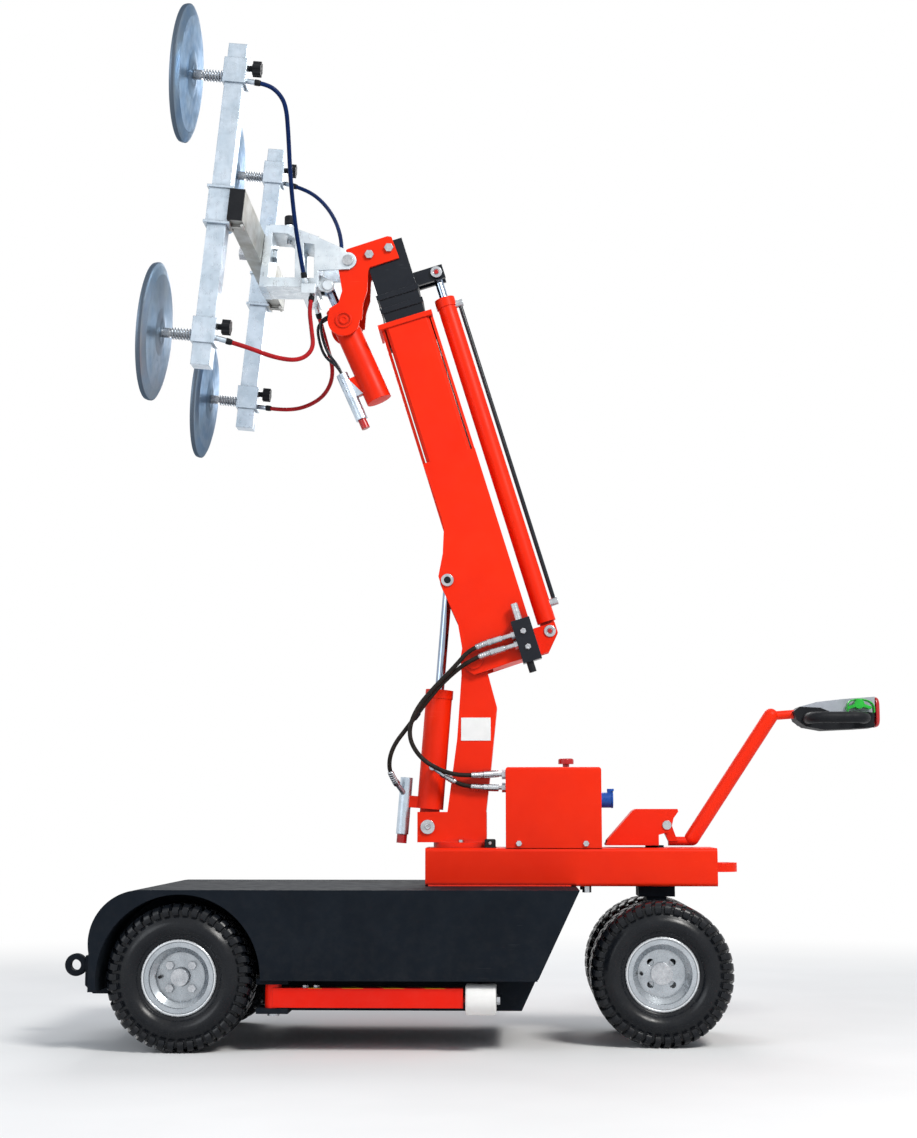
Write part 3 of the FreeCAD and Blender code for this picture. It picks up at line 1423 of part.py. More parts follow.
# Boom, built upright on its own axis and then leaned


def on_boom(shape):
    return placed(shape, boom_place)


def boom_point(x, z):
    return boom_place.inverse().multVec(V(x, 0, z))


def boom_outer():
    outer = block(-boom_half_e, boom_half_e, -boom_half_y, boom_half_y, boom_low_s, boom_top_s)
    upright = [e for e in outer.Edges if abs(e.Vertexes[0].Z - e.Vertexes[1].Z) > boom_half_e]
    tube = outer.makeChamfer(boom_bevel, upright)
    room_e = boom_half_e - boom_wall
    room_y = boom_half_y - boom_wall
    side = prism(boom_outline, -boom_half_y, -room_y)
    rear = block(room_e, boom_half_e, -room_y, room_y, boom_floor_s0, boom_low_s)
    floor = block(boom_floor_e, boom_half_e, -room_y, room_y, boom_floor_s0, boom_floor_s1)
    lip = block(-boom_half_e - boom_lip, boom_half_e, -boom_half_y - boom_lip, boom_half_y + boom_lip,
                boom_top_s - boom_lip_height, boom_top_s)
    body = joined(tube, side, mirrored(side), rear, floor, lip)
    room = block(-room_e, room_e, -room_y, room_y, boom_floor_s1, boom_top_s)
    column_room = block(boom_outline[9][0] - boom_wall, -room_e, -room_y, room_y, boom_floor_s0 - boom_wall,
                        boom_low_s)
    body = body.cut(room).cut(column_room)
    window = block(-boom_half_e - boom_wall, -room_e + boom_wall, -boom_window_half, boom_window_half,
                   boom_window_s0, boom_window_s1)
    body = body.cut(window)
    pads = []
    pad_s = boom_top_s - pad_length
    for sign in (-1, 1):
        e0, e1 = sorted((sign * (inner_half_e + slide_gap), sign * room_e))
        pads.append(block(e0, e1, -pad_half, pad_half, pad_s, boom_top_s))
        y0, y1 = sorted((sign * (inner_half_y + slide_gap), sign * room_y))
        pads.append(block(-pad_half, pad_half, y0, y1, pad_s, boom_top_s))
    lugs = []
    for sign in (-1, 1):
        y0, y1 = sorted((sign * tele_lug_plate0, sign * tele_lug_plate1))
        outline = [(room_e, boom_floor_s0), (tele_e - tele_eye_radius, boom_floor_s0),
                   (tele_e + tele_eye_radius, tele_pin_s - tele_eye_radius / 2)]
        outline += [(tele_e + tele_eye_radius, tele_pin_s + tele_eye_radius),
                    (room_e, tele_pin_s + tele_eye_radius)]
        lugs.append(prism(outline, y0, y1))
    body = joined(body, *(pads + lugs))
    pivot = boom_point(pivot_x, pivot_z)
    ear = boom_point(lift_top_x, lift_top_z)
    body = body.cut(rod_y(pivot.x, pivot.z, pivot_pin_radius + fit, -boom_half_y, boom_half_y))
    body = body.cut(rod_y(tele_e, tele_pin_s, tele_pin_radius, -tele_lug_plate1, tele_lug_plate1))
    body = body.cut(rod_y(ear.x, ear.z, ear_pin_radius, -boom_half_y, boom_half_y))
    stubs = []
    for sign in (-1, 1):
        y0, y1 = sorted((sign * (lift_rod_eye_half + 2 * slack), sign * boom_half_y))
        stub = rod_y(ear.x, ear.z, ear_pin_radius, y0, y1)
        y0, y1 = sorted((sign * boom_half_y, sign * (boom_half_y + ear_pin_head)))
        stubs.append(joined(stub, rod_y(ear.x, ear.z, ear_pin_head_radius, y0, y1)))
    save("boom_outer", on_boom(body), *[on_boom(s) for s in stubs])


def valve_block():
    y0 = -boom_half_y - block_depth
    body = block(block_e0, block_e1, y0, -boom_half_y, block_s0, block_s1)
    parts = [on_boom(body)]
    for end, beside in ((hose_a[-1], hose_a[-2]), (hose_b[0], hose_b[1])):
        place = boom_place.inverse().multVec(V(*end))
        pipe_e = place.x + block_port_radius
        nut = hexagon(V(block_e0, place.y, place.z), V(-1, 0, 0), block_nut_radius, block_port_radius)
        pipe = rod(V(pipe_e, place.y, place.z), ALONG_X, block_pipe_radius, block_e0 - pipe_e)
        stub = hose_stub(end, beside, block_port_radius, ferrule_length)
        parts.append(joined(on_boom(joined(nut, pipe)), stub))
    middle = block_port_y
    parts.append(on_boom(rod(V(block_cap_up_e, middle, block_s1), ALONG_Z, block_cap_radius,
                             block_cap_up_s - block_s1)))
    parts.append(on_boom(rod(V(block_cap_low_e, middle, block_cap_low_s), ALONG_Z, block_cap_radius,
                             block_s0 - block_cap_low_s)))
    save("valve_block", *parts)


def telescope_barrel():
    barrel = rod(V(tele_e, 0, tele_low_s), ALONG_Z, tele_radius, tele_top_s - tele_low_s)
    gland = rod(V(tele_e, 0, tele_top_s - tele_gland_length), ALONG_Z, tele_gland_radius, tele_gland_length)
    eye = rod_y(tele_e, tele_pin_s, tele_eye_radius, -tele_eye_half, tele_eye_half)
    web = block(tele_e - tele_eye_radius, tele_e + tele_eye_radius, -tele_eye_half, tele_eye_half,
                tele_pin_s, tele_low_s)
    bore = rod(V(tele_e, 0, tele_low_s + tele_eye_half), ALONG_Z, tele_bore_radius,
               tele_top_s - tele_gland_length - tele_low_s - tele_eye_half)
    throat = rod(V(tele_e, 0, tele_top_s - 2 * tele_gland_length), ALONG_Z, tele_rod_radius + fit,
                 2 * tele_gland_length)
    body = joined(barrel, gland, eye, web).cut(bore).cut(throat)
    body = body.cut(rod_y(tele_e, tele_pin_s, tele_pin_radius, -tele_eye_half, tele_eye_half))
    pin = rod_y(tele_e, tele_pin_s, tele_pin_radius, -tele_lug_plate1, tele_lug_plate1)
    line_e = tele_e + tele_gland_radius + tele_line_gap + tele_line_radius
    line = rod(V(line_e, 0, tele_line_s0), ALONG_Z, tele_line_radius, tele_line_s1 - tele_line_s0)
    ports = []
    for s in (tele_line_s0, tele_line_s1):
        start = V(tele_e + tele_radius - tele_line_gap, 0, s)
        port = rod(start, ALONG_X, tele_port_radius, line_e + tele_line_radius + tele_line_gap - start.x)
        ports.append(port.cut(barrel).cut(gland).cut(line))
    save("telescope_barrel", on_boom(body), on_boom(pin), on_boom(line), *[on_boom(p) for p in ports])


def telescope_rod():
    piston = rod(V(tele_e, 0, tele_piston_s), ALONG_Z, tele_bore_radius - fit, piston_length)
    shaft = rod(V(tele_e, 0, tele_piston_s), ALONG_Z, tele_rod_radius, tele_top_pin_s - tele_piston_s)
    eye = rod_y(tele_e, tele_top_pin_s, tele_eye_radius, -tele_eye_half, tele_eye_half)
    body = joined(piston, shaft, eye).cut(rod_y(tele_e, tele_top_pin_s, tele_pin_radius, -tele_eye_half,
                                                tele_eye_half))
    save("telescope_rod", on_boom(body))


def boom_inner():
    outer = block(-inner_half_e, inner_half_e, -inner_half_y, inner_half_y, inner_low_s, inner_top_s)
    room = block(inner_wall - inner_half_e, inner_half_e - inner_wall, inner_wall - inner_half_y,
                 inner_half_y - inner_wall, inner_low_s, inner_top_s)
    room_e = boom_half_e - boom_wall - slide_gap
    room_y = boom_half_y - boom_wall - slide_gap
    extra = []
    for sign in (-1, 1):
        e0, e1 = sorted((sign * inner_half_e, sign * room_e))
        extra.append(block(e0, e1, -pad_half, pad_half, inner_low_s, inner_low_s + pad_length))
        y0, y1 = sorted((sign * inner_half_y, sign * room_y))
        extra.append(block(-pad_half, pad_half, y0, y1, inner_low_s, inner_low_s + pad_length))
        y0, y1 = sorted((sign * tele_lug_y0, sign * tele_lug_y1))
        extra.append(block(inner_half_e, tele_lug_end_e, y0, y1, tele_lug_s0, tele_lug_s1))
    for s in collar_s:
        wide_e = inner_half_e + collar_thick
        wide_y = inner_half_y + collar_thick
        extra.append(block(-wide_e, wide_e, -wide_y, wide_y, s, s + 3 * collar_thick))
    body = joined(outer, *extra).cut(room)
    body = body.cut(rod_y(tele_e, tele_top_pin_s, tele_pin_radius, -tele_lug_y1, tele_lug_y1))
    pin = rod_y(tele_e, tele_top_pin_s, tele_pin_radius, -tele_lug_y1 - pivot_pin_head,
                tele_lug_y1 + pivot_pin_head)
    body = on_boom(body)
    for x, z in knee_bolts_xz:
        body = body.cut(rod_y(x, z, knee_bolt_radius, -inner_half_y, inner_half_y))
    save("boom_inner", body, on_boom(pin))


# Lift cylinder


def lift_cylinder():
    barrel = rod(V(0, 0, lift_low), ALONG_Z, lift_radius, lift_high - lift_low)
    gland = rod(V(0, 0, lift_high - lift_gland_length), ALONG_Z, lift_gland_radius, lift_gland_length)
    eye = rod_y(0, 0, lift_eye_radius, -lift_eye_half, lift_eye_half)
    web = block(-lift_eye_radius, lift_eye_radius, -lift_eye_half, lift_eye_half, 0, lift_low)
    bore = rod(V(0, 0, lift_low + lift_neck), ALONG_Z, lift_bore_radius,
               lift_high - lift_gland_length - lift_low - lift_neck)
    throat = rod(V(0, 0, lift_high - 2 * lift_gland_length), ALONG_Z, lift_rod_radius + fit,
                 2 * lift_gland_length)
    body = joined(barrel, gland, eye, web).cut(bore).cut(throat)
    body = body.cut(rod_y(0, 0, lift_pin_radius + fit, -lift_eye_half, lift_eye_half))
    valve = rod(V(lift_valve_off, 0, lift_valve_low), ALONG_Z, lift_valve_radius,
                lift_valve_high - lift_valve_low)
    cap = rod(V(lift_valve_off, 0, lift_valve_low - lift_valve_cap), ALONG_Z, lift_valve_cap_radius,
              lift_valve_cap)
    bridge = block(lift_valve_off, 0, -lift_bridge_half, lift_bridge_half, lift_bridge_low,
                   lift_bridge_high).cut(barrel)
    clip = block(-lift_radius - lift_clip_out, 0, -lift_clip_length, lift_clip_length, lift_clip_at,
                 lift_clip_at + lift_clip_length)
    clip = clip.cut(barrel)
    body, valve, cap, clip = [placed(s, lift_place) for s in (body, joined(valve, bridge), cap, clip)]
    valve_stub = hose_stub(hose_c[-1], hose_c[-2], nipple_radius, manifold_stub_length)
    port_end = (lift_radius + lift_bore_radius) / 2
    port = rod_y(barrel_port_x, barrel_port_z, barrel_port_radius, -barrel_port_out, -port_end)
    port_stub = hose_stub(hose_d[-1], hose_d[-2], nipple_radius, manifold_stub_length)
    save("lift_barrel", joined(body, port, port_stub), joined(valve, valve_stub), cap, clip)
    span = lift_span
    piston = rod(V(0, 0, lift_piston), ALONG_Z, lift_bore_radius - fit, piston_length)
    shaft = rod(V(0, 0, lift_piston), ALONG_Z, lift_rod_radius, span - lift_piston)
    ring = rod_y(0, span, lift_rod_eye_radius, -lift_rod_eye_half, lift_rod_eye_half)
    body = joined(piston, shaft, ring).cut(rod_y(0, span, ear_pin_radius, -lift_rod_eye_half,
                                                 lift_rod_eye_half))
    save("lift_rod", placed(body, lift_place))


# Knee and tilt cylinder


def knee():
    y0 = inner_half_y
    y1 = inner_half_y + knee_plate
    plate = prism(on_knee(knee_shares), y0, y1)
    disc = rod_y(tilt_base_x, tilt_base_z, knee_disc_radius, y0, y1)
    nose = rod_y(head_pivot_x, head_pivot_z, knee_head_radius, y0, y1)
    ring = rod_y(tilt_base_x, tilt_base_z, knee_ring_radius, y1, y1 + knee_ring_height)
    ring = ring.cut(rod_y(tilt_base_x, tilt_base_z, knee_ring_radius - knee_ring_wall, y1,
                          y1 + knee_ring_height))
    plate = joined(plate, disc, nose, ring)
    plate = plate.cut(rod_y(tilt_base_x, tilt_base_z, tilt_trunnion_radius + fit, y0, y1))
    plate = plate.cut(rod_y(head_pivot_x, head_pivot_z, head_pin_radius, y0, y1))
    for x, z in knee_bolts_xz:
        plate = plate.cut(rod_y(x, z, knee_bolt_radius, y0, y1))
    save("knee_plates", plate, mirrored(plate))
    bolts = []
    for x, z in knee_bolts_xz:
        shank = rod_y(x, z, knee_bolt_radius, -y1, y1)
        head = hexagon(V(x, y1, z), ALONG_Y, knee_bolt_head_radius, knee_bolt_head)
        bolts.append(joined(shank, head, mirrored(head)))
    far = head_side_y1 + slack
    pin = rod_y(head_pivot_x, head_pivot_z, head_pin_radius, -far, far)
    head = rod_y(head_pivot_x, head_pivot_z, head_pin_head_radius, far, far + head_pin_head)
    save("knee_bolts", *bolts, joined(pin, head, mirrored(head)))


def tilt_cylinder():
    barrel = rod(V(0, 0, tilt_low), ALONG_Z, tilt_radius, tilt_high - tilt_low)
    pins = rod_y(0, 0, tilt_trunnion_radius, -inner_half_y - knee_plate, inner_half_y + knee_plate)
    bore = rod(V(0, 0, tilt_low + tilt_end_plate), ALONG_Z, tilt_bore_radius,
               tilt_high - tilt_gland_length - tilt_low - tilt_end_plate)
    throat = rod(V(0, 0, tilt_high - 2 * tilt_gland_length), ALONG_Z, tilt_rod_radius + fit,
                 2 * tilt_gland_length)
    body = joined(barrel, pins).cut(bore).cut(throat)
    valve = rod(V(tilt_valve_off, 0, tilt_valve_low), ALONG_Z, tilt_valve_radius,
                tilt_valve_high - tilt_valve_low)
    cap = rod(V(tilt_valve_off, 0, tilt_valve_low - tilt_valve_cap), ALONG_Z, tilt_valve_cap_radius,
              tilt_valve_cap)
    bridge = block(tilt_valve_off, 0, -tilt_bridge_half, tilt_bridge_half, tilt_bridge_low,
                   tilt_bridge_high).cut(barrel)
    save("tilt_barrel", placed(body, tilt_place), placed(joined(valve, bridge), tilt_place),
         placed(cap, tilt_place))
    span = tilt_span
    piston = rod(V(0, 0, tilt_piston), ALONG_Z, tilt_bore_radius - fit, piston_length)
    shaft = rod(V(0, 0, tilt_piston), ALONG_Z, tilt_rod_radius, span - tilt_piston)
    ring = rod_y(0, span, tilt_eye_radius, -tilt_eye_half, tilt_eye_half)
    body = joined(piston, shaft, ring).cut(rod_y(0, span, tilt_eye_bore_radius, -tilt_eye_half,
                                                 tilt_eye_half))
    save("tilt_rod", placed(body, tilt_place))


# Head frame


def on_yoke(shape):
    return placed(shape, yoke_place)


def head_frame():
    low_bar = on_head(head_low_shares)
    side = prism(on_head(head_side_shares), head_side_y0, head_side_y1)
    eye = rod_y(head_pivot_x, head_pivot_z, head_eye_radius, head_side_y0, head_side_y1)
    side = joined(side, eye)
    rear = prism(on_head(head_rear_shares), -head_side_y1, head_side_y1)
    top = prism(on_head(head_top_shares), -head_side_y1, head_side_y1)
    low = prism(low_bar, -head_side_y1, head_side_y1)
    posts = [prism(on_head(head_mid_shares), -head_side_y1, head_mid_post_half - head_side_y1)]
    posts.append(mirrored(posts[0]))
    front = on_yoke(block(swivel_plate_x0, swivel_plate_x1, -head_side_y1, head_side_y1, swivel_plate_z0,
                          swivel_plate_z1))
    lug = prism(on_head(head_lug_shares), head_lug_y0, head_lug_y1)
    lug = joined(lug, rod_y(tilt_top_x, tilt_top_z, head_lug_radius, head_lug_y0, head_lug_y1))
    guide = rod(V(plunger_x, 0, plunger_base_z), ALONG_Z, plunger_tube_radius,
                plunger_tube_top - plunger_base_z)
    front_share, rear_share, low_share = manifold_shares
    (m0, z0), (m1, _) = on_head([(front_share, low_share), (rear_share, low_share)])
    manifold = block(m0, m1, -manifold_half, manifold_half, z0, low_bar[2][1] + manifold_seat)
    stubs = [hose_stub(points[-1], points[-2], nipple_radius, manifold_stub_length)
             for points in (blue_near, blue_far, red_near, red_far)]
    plates = [side, mirrored(side), rear, top, low, front, lug, mirrored(lug)]
    body = joined(*plates, *posts, guide, manifold, *stubs)
    body = body.cut(rod_y(head_pivot_x, head_pivot_z, head_pin_radius + fit, -head_side_y1, head_side_y1))
    body = body.cut(rod_y(tilt_top_x, tilt_top_z, tilt_pin_radius, -head_lug_y1, head_lug_y1))
    body = body.cut(rod(V(plunger_x, 0, plunger_low_z), ALONG_Z, plunger_radius,
                        plunger_tube_top - plunger_low_z))
    body = body.cut(on_yoke(rod(V(0, 0, 0), ALONG_X, swivel_radius, swivel_plate_x1)))
    bolt = rod(V(swivel_nut_end, 0, 0), ALONG_X, swivel_radius, swivel_plate_x1 - swivel_nut_end)
    nut_start = -beam_half_x - slack
    nut = hexagon(V(nut_start, 0, 0), V(-1, 0, 0), swivel_nut_radius,
                  nut_start - swivel_nut_end - swivel_washer)
    washer = rod(V(nut_start - 2 * swivel_washer, 0, 0), ALONG_X, swivel_nut_radius * 5 / 4,
                 2 * swivel_washer)
    head = hexagon(V(swivel_plate_x1, 0, 0), ALONG_X, swivel_nut_radius, swivel_radius)
    stubs = []
    for sign in (-1, 1):
        y0, y1 = sorted((sign * head_lug_y0, sign * head_lug_y1))
        stub = rod_y(tilt_top_x, tilt_top_z, tilt_pin_radius, y0, y1)
        y0, y1 = sorted((sign * head_lug_y1, sign * (head_lug_y1 + tilt_pin_head)))
        stubs.append(joined(stub, rod_y(tilt_top_x, tilt_top_z, tilt_pin_head_radius, y0, y1)))
    save("head_frame", body, on_yoke(joined(bolt, nut, washer, head)), *stubs)
    pin = rod(V(plunger_x, 0, plunger_low_z + slack), ALONG_Z, plunger_radius - fit,
              plunger_tube_top - plunger_low_z)
    knob = rod(V(plunger_x, 0, plunger_tube_top + slack), ALONG_Z, plunger_knob_radius,
               plunger_knob_top - plunger_tube_top - slack)
    knob = knob.makeFillet(plunger_knob_radius / 3,
                           [e for e in knob.Edges if e.Curve.TypeId == "Part::GeomCircle"])
    save("index_plunger", joined(pin, knob))


# Yoke with its tubes, holders and cups


def both_sides(shape):
    near = moved(shape, 0, -tube_y, 0)
    return [near, mirrored(near)]


def square_tube(half, wall, z0, z1):
    outer = block(tube_x - half, tube_x + half, -half, half, z0, z1)
    return outer.cut(block(tube_x - half + wall, tube_x + half - wall, wall - half, half - wall, z0, z1))


def yoke():
    beam = block(-beam_half_x, beam_half_x, -beam_end_y, beam_end_y, -beam_half_z, beam_half_z)
    room = block(beam_wall - beam_half_x, beam_half_x - beam_wall, -beam_end_y, beam_end_y,
                 beam_wall - beam_half_z, beam_half_z - beam_wall)
    room = room.cut(rod(V(-beam_half_x, 0, 0), ALONG_X, 2 * swivel_radius, 2 * beam_half_x))
    beam = beam.cut(room)
    inner = tube_half + slide_gap
    outer = inner + sleeve_wall
    sleeve = square_tube(outer, sleeve_wall, -sleeve_half_z, sleeve_half_z)
    lip_top = square_tube(outer + sleeve_lip, sleeve_wall + sleeve_lip, sleeve_half_z - sleeve_lip_height,
                          sleeve_half_z)
    lip_low = square_tube(outer + sleeve_lip, sleeve_wall + sleeve_lip, -sleeve_half_z,
                          sleeve_lip_height - sleeve_half_z)
    sleeves = both_sides(joined(sleeve, lip_top, lip_low))
    beam = joined(beam, *sleeves)
    for tool in both_sides(block(tube_x - inner, tube_x + inner, -inner, inner, -sleeve_half_z,
                                 sleeve_half_z)):
        beam = beam.cut(tool)
    beam = beam.cut(rod(V(-beam_half_x, 0, 0), ALONG_X, swivel_radius + fit, 2 * beam_half_x))
    caps = []
    for side in (-1, 1):
        y0, y1 = sorted((side * beam_end_y, side * (beam_end_y + beam_cap)))
        caps.append(block(-beam_half_x, beam_half_x, y0, y1, -beam_half_z, beam_half_z))
    clamps = []
    rear = tube_x + outer + sleeve_lip
    low_z = -sleeve_half_z + sleeve_lip_height / 2
    screw = rod(V(rear, 0, low_z), ALONG_X, sleeve_lip_height / 2, clamp_length)
    bar = rod(V(rear + clamp_length - clamp_bar_radius, -clamp_bar_half, low_z), ALONG_Y, clamp_bar_radius,
              2 * clamp_bar_half)
    clamps = both_sides(joined(screw, bar))
    save("yoke_beam", *[on_yoke(s) for s in [beam] + caps + clamps])


def cup_tubes():
    tube = square_tube(tube_half, tube_wall, tube_low_z, tube_top_z)
    for z in holder_z:
        tube = tube.cut(rod(V(tube_x - tube_half, 0, z), ALONG_X, stem_radius + slack, 2 * tube_wall))
    caps = [block(tube_x - tube_half, tube_x + tube_half, -tube_half, tube_half, tube_top_z,
                  tube_top_z + tube_cap)]
    caps.append(block(tube_x - tube_half, tube_x + tube_half, -tube_half, tube_half, tube_low_z - tube_cap,
                      tube_low_z))
    shapes = []
    for shape in [tube] + caps:
        shapes += both_sides(shape)
    save("cup_tubes", *[on_yoke(s) for s in shapes])


def star_knob(x, z):
    body = rod(V(x + knob_neck, 0, z), ALONG_X, knob_radius - knob_lobe_radius / 2, knob_length)
    lobes = []
    for k in range(knob_lobes):
        turn = 2 * math.pi * k / knob_lobes
        reach = knob_radius - knob_lobe_radius
        start = V(x + knob_neck, reach * math.cos(turn), z + reach * math.sin(turn))
        lobes.append(rod(start, ALONG_X, knob_lobe_radius, knob_length))
    neck = rod(V(x, 0, z), ALONG_X, knob_neck_radius, knob_neck)
    return joined(body, neck, *lobes)


def cup_holders():
    holders = []
    knobs = []
    half = tube_half + holder_wall
    rear = tube_x + half
    hose_ends = [[blue_near, blue_far], [red_near, red_far]]
    for z, ends in zip(holder_z, hose_ends):
        collar = square_tube(half, holder_wall, z - holder_down, z + holder_up)
        collar = collar.cut(rod(V(tube_x - half, 0, z), ALONG_X, stem_radius + fit, 2 * holder_wall))
        room = block(tube_x - tube_half, tube_x + tube_half, -tube_half, tube_half, z - holder_down,
                     z + holder_up)
        for place, points, space in zip(both_sides(collar), ends, both_sides(room)):
            nipple = hose_stub(points[0], points[1], nipple_radius, nipple_length)
            holders.append(joined(on_yoke(place), nipple).cut(on_yoke(space)))
        knobs += both_sides(star_knob(rear, z + knob_up))
    save("cup_holders", *holders, *[on_yoke(s) for s in knobs])


def cups():
    back = [(cup_back_x - cup_dish * depth, cup_radius * reach) for depth, reach in cup_shares]
    front = [(x - cup_plate, r) for x, r in back]
    lip = [(front[-1][0] - seal_depth * depth, cup_radius * reach) for depth, reach in seal_shares]
    plate = spun_x(back + front[::-1])
    seal = spun_x(front[-3:] + lip)
    hub = rod(V(cup_hub_front, 0, 0), ALONG_X, cup_hub_radius, cup_hub_rear - cup_hub_front)
    stem = rod(V(cup_hub_front, 0, 0), ALONG_X, stem_radius, stem_end_x - cup_hub_front)
    plate = joined(plate, hub, stem)
    for side_name, side in (("left", -1), ("right", 1)):
        for level, z in (("top", holder_z[0]), ("bottom", holder_z[1])):
            shapes = [on_yoke(moved(s, 0, side * tube_y, z)) for s in (plate, seal)]
            save("cup_" + level + "_" + side_name, *shapes)


def spring():
    start = cup_hub_rear + spring_wire_radius + slide_gap
    length = spring_rear - spring_wire_radius - slide_gap - start
    steps = 4 * spring_turns
    climb = length / (2 * math.pi * spring_turns)
    points = []
    lines = []
    for k in range(steps + 1):
        turn = math.pi * k / 2
        points.append(V(start + climb * turn, spring_radius * math.cos(turn),
                        spring_radius * math.sin(turn)))
        lines.append(V(climb, -spring_radius * math.sin(turn), spring_radius * math.cos(turn)).normalize())
    edges = []
    for a, b, line_a, line_b in zip(points, points[1:], lines, lines[1:]):
        chord = b - a
        both = line_a + line_b
        spread = 2 * (1 - line_a.dot(line_b))
        along = chord.dot(both)
        reach = (math.sqrt(along ** 2 + spread * chord.dot(chord)) - along) / spread
        middle = (a + b + (line_a - line_b) * reach) * (1 / 2)
        edges += [bend(a, a + line_a * reach, middle)[0], bend(middle, b - line_b * reach, b)[0]]
    coil, path = tube_along(edges, spring_wire_radius)
    spots = path.discretize(Number=spring_turns * spring_spots + 1)
    pairs = [(p, q) for k, p in enumerate(spots) for q in spots[k + spring_spots // 2:]]
    gap = min((p - q).Length for p, q in pairs) - 2 * spring_wire_radius
    share = coil.Volume / (math.pi * spring_wire_radius ** 2 * path.Length)
    print("spring least gap to itself", round(gap, 2), "volume share", round(share, 4))
    return coil


def springs():
    coil = spring()
    shapes = []
    for z in holder_z:
        for side in (-1, 1):
            shapes.append(on_yoke(moved(coil, 0, side * tube_y, z)))
    save("cup_springs", *shapes)


def hoses():
    routes = {"hose_box_high": hose_a, "hose_lift_upper": hose_b, "hose_lift_lower": hose_c,
              "hose_box_low": hose_d,
              "vacuum_hose_top_left": blue_near, "vacuum_hose_top_right": blue_far,
              "vacuum_hose_bottom_left": red_near, "vacuum_hose_bottom_right": red_far}
    for name, points in routes.items():
        save(name, hose(points, name))


wheels()
chassis_shell()
tray()
drive_axle()
tow_eye()
main_frame()
column()
frame_pins()
frame_bolts()
control_box()
save("power_pack", *batteries(), *pumps())
outriggers()
steering()
tiller()
boom_outer()
valve_block()
telescope_barrel()
telescope_rod()
boom_inner()
lift_cylinder()
knee()
tilt_cylinder()
head_frame()
yoke()
cup_tubes()
cup_holders()
cups()
springs()
hoses()
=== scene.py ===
import math

import bmesh
import bpy
from mathutils import Matrix, Vector


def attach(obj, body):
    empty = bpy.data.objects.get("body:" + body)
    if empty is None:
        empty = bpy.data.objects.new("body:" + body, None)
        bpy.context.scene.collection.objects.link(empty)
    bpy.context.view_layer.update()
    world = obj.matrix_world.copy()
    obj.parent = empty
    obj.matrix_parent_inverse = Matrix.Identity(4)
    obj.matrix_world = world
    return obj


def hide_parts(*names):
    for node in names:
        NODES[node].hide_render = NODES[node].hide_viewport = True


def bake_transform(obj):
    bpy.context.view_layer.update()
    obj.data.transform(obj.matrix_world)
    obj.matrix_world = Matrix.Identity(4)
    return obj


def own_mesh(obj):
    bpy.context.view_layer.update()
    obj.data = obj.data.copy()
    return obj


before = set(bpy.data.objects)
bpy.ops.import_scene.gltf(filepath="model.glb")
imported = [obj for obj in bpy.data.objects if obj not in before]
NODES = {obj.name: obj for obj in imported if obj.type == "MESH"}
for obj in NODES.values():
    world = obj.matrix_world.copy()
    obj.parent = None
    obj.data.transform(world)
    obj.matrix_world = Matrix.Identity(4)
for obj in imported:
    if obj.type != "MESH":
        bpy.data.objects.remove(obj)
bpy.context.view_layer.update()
scene = bpy.context.scene
scene.view_settings.view_transform = "Standard"


# The frame of a leaning assembly: its turn about the y axis, and its origin in metres
def leaning(cosine, sine, x, z):
    return Matrix(((cosine, 0, sine, x), (0, 1, 0, 0), (-sine, 0, cosine, z), (0, 0, 0, 1)))


YOKE = leaning(0.99523, 0.09758, -0.608, 2.172)
BOOM = leaning(0.9558, -0.2940, 0.10153, 1.0347)
LIFT = leaning(0.99686, 0.0792, -0.120, 0.557)
TILT = leaning(0.91381, -0.40614, -0.359, 1.962)
YOKE_FORWARD = YOKE.to_3x3() @ Vector((1, 0, 0))


def on_yoke(x, y, z):
    return YOKE @ Vector((x, y, z))


def on_boom(x, y, z):
    return BOOM @ Vector((x, y, z))


def on_tilt(x, y, z):
    return TILT @ Vector((x, y, z))


# Camera at the photograph's viewing angle, for an image of 917 by 1138

PHOTO_HEIGHT = 1138
FOCAL_PIXELS = 1750
SENSOR = 36
camera = bpy.data.objects.new("camera", bpy.data.cameras.new("camera"))
scene.collection.objects.link(camera)
camera.location = (0.1148, -4.8, 0.5968)
camera.rotation_euler = (math.radians(97.905), 0, math.radians(1.8316))
camera.data.sensor_width = SENSOR
camera.data.lens = FOCAL_PIXELS / PHOTO_HEIGHT * SENSOR
camera.data.clip_end = 100
scene.camera = camera


